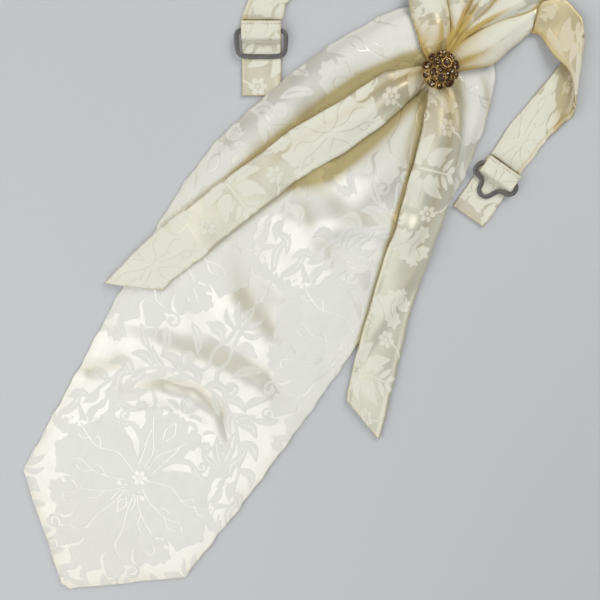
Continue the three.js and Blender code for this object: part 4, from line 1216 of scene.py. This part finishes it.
def grow_end(upper, steps):
    """Extrudes the face at a primitive's upper or lower end in steps of height, scale and turn."""
    mesh = bpy.context.object.data
    bpy.ops.object.mode_set(mode="EDIT")
    bpy.ops.mesh.select_mode(type="FACE")
    bpy.ops.mesh.select_all(action="DESELECT")
    bpy.ops.object.mode_set(mode="OBJECT")
    pick = (max if upper else min)(mesh.polygons, key=lambda face: face.center.z)
    pick.select = True
    bpy.ops.object.mode_set(mode="EDIT")
    for rise, scale, turned in steps:
        bpy.ops.mesh.extrude_region_move(TRANSFORM_OT_translate={"value": (0, 0, rise)})
        bpy.ops.transform.resize(value=(scale, scale, 1))
        if turned:
            bpy.ops.transform.rotate(value=turned, orient_axis="Z", center_override=(0, 0, 0))
    bpy.ops.object.mode_set(mode="OBJECT")


def cut_stone(diameter):
    """Round brilliant: a girdle, a crown with a turned table and a pointed back."""
    r = diameter / 2000
    facet = math.radians(11.25)
    select_only()
    bpy.ops.mesh.primitive_cylinder_add(vertices=16, radius=r, depth=0.12 * r, location=(0, 0, 0))
    grow_end(True, ((0.15 * r, 0.84, facet), (0.12 * r, 0.78, facet), (0.06 * r, 0.62, 0)))
    grow_end(False, ((-0.3 * r, 0.6, facet), (-0.26 * r, 0.08, 0)))
    stone = bpy.context.object
    bpy.ops.object.mode_set(mode="EDIT")
    bpy.ops.mesh.select_all(action="SELECT")
    bpy.ops.mesh.quads_convert_to_tris()
    bpy.ops.mesh.normals_make_consistent(inside=False)
    bpy.ops.object.mode_set(mode="OBJECT")
    bpy.ops.object.shade_flat()
    return stone


def stone_cup(diameter):
    """Open cup for one stone: a turned tub, its top inset and sunk, with four prongs over the rim."""
    r = diameter / 2000 + CUP_WALL
    select_only()
    bpy.ops.mesh.primitive_cylinder_add(vertices=20, radius=r * 0.86, depth=0.001, location=(0, 0, -0.0012))
    grow_end(True, ((0.0005, 1.16, 0), (0.0003, 1.02, 0), (0.0, 0.94, 0), (-0.0009, 0.8, 0)))
    cup = bpy.context.object
    bpy.ops.object.shade_smooth_by_angle(angle=math.radians(40))
    parts = [cup]
    for k in range(4):
        a = math.radians(45 + 90 * k)
        place = (r * 0.93 * math.cos(a), r * 0.93 * math.sin(a), 0.00022)
        parts.append(add_ball(10, 7, PRONG_RADIUS, place))
    joined(parts)
    bpy.ops.object.transform_apply(location=True, rotation=True, scale=True)
    return cup


def placed_copy(pattern, name, place):
    """A copy with its own mesh, its place in the mesh."""
    copy = linked(name, pattern.data.copy())
    copy.data.transform(place)
    return copy


select_only()
plate_place = (0, 0, (BROOCH_SEAT + 0.2) / 1000)
bpy.ops.mesh.primitive_cylinder_add(vertices=64, radius=0.0088, depth=0.0004, location=plate_place)
grow_end(True, PLATE_STEPS)
plate = bpy.context.object
plate.data.transform(Matrix.Translation(Vector(in_frame((0, 0, 0)))) @ plate.matrix_world)
plate.matrix_world = Matrix.Identity(4)
bpy.ops.object.shade_smooth_by_angle(angle=math.radians(50))
setting_parts = [plate]
stones = []
for ring, count, reach, size, first in STONE_RINGS:
    cup_pattern = stone_cup(size)
    stone_pattern = cut_stone(size)
    for n in range(count):
        seat = stone_seat(reach, first + 360 / count * n)
        setting_parts.append(placed_copy(cup_pattern, "cup", seat))
        raised = seat @ Matrix.Translation((0, 0, 0.0001))
        stones.append((ring, n + 1, placed_copy(stone_pattern, f"topaz_{ring}_{n + 1}", raised)))
    bpy.data.objects.remove(cup_pattern)
    bpy.data.objects.remove(stone_pattern)

for count, reach, first, radius in BEAD_RINGS:
    select_only()
    bead = add_ball(10, 7, radius, (0, 0, -0.0002))
    bpy.ops.object.transform_apply(location=True)
    for n in range(count):
        setting_parts.append(placed_copy(bead, "bead", stone_seat(reach, first + 360 / count * n)))
    bpy.data.objects.remove(bead)

setting = joined(setting_parts)
setting.name = "brooch_gold"
finish_piece(setting, gold, "antique_gold", "brooch_setting")
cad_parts["brooch_post"].data.materials.clear()
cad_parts["brooch_post"].data.materials.append(gold)

# Stones: round brown glass brilliants. The amber, gold and white glints at their facets are painted
# highlights: each glint is a share of the facets, picked by one channel of a random colour, and its own
# colour.
PAINTED_GLINTS = (
    ("Red", 0.78, (0.13, 0.056, 0.013, 1)), ("Green", 0.945, (0.62, 0.42, 0.17, 1)),
    ("Blue", 0.965, (0.90, 0.80, 0.62, 1)),
)
glassy = {"Roughness": 0.07, "IOR": 1.5, "Specular IOR Level": 0.35, "Specular Tint": (1.0, 0.9, 0.72, 1)}
topaz = mottled("topaz_glass", glassy, 1100, 2, (0.010, 0.004, 0.0012), (0.07, 0.028, 0.006))
stone_tree = topaz.node_tree
stone_place = stone_tree.nodes["Texture Coordinate"].outputs["Object"]
glint_cells = add_node(stone_tree, "TexVoronoi", {"Vector": stone_place, "Scale": 1500})
glint_pick = add_node(stone_tree, "SeparateColor", {"Color": glint_cells.outputs["Color"]})
tone = stone_tree.nodes["Principled BSDF"].inputs["Base Color"].links[0].from_socket
for channel, above, painted_glint in PAINTED_GLINTS:
    pick = {0: glint_pick.outputs[channel], 1: above}
    lit = add_node(stone_tree, "Math", pick, operation="GREATER_THAN").outputs[0]
    tone = mix_colours(stone_tree, lit, tone, painted_glint)
feed_shader(stone_tree, {"Base Color": tone})
for ring, number, stone in stones:
    finish_piece(stone, topaz, "topaz_glass", f"stone_{ring}_{number}")
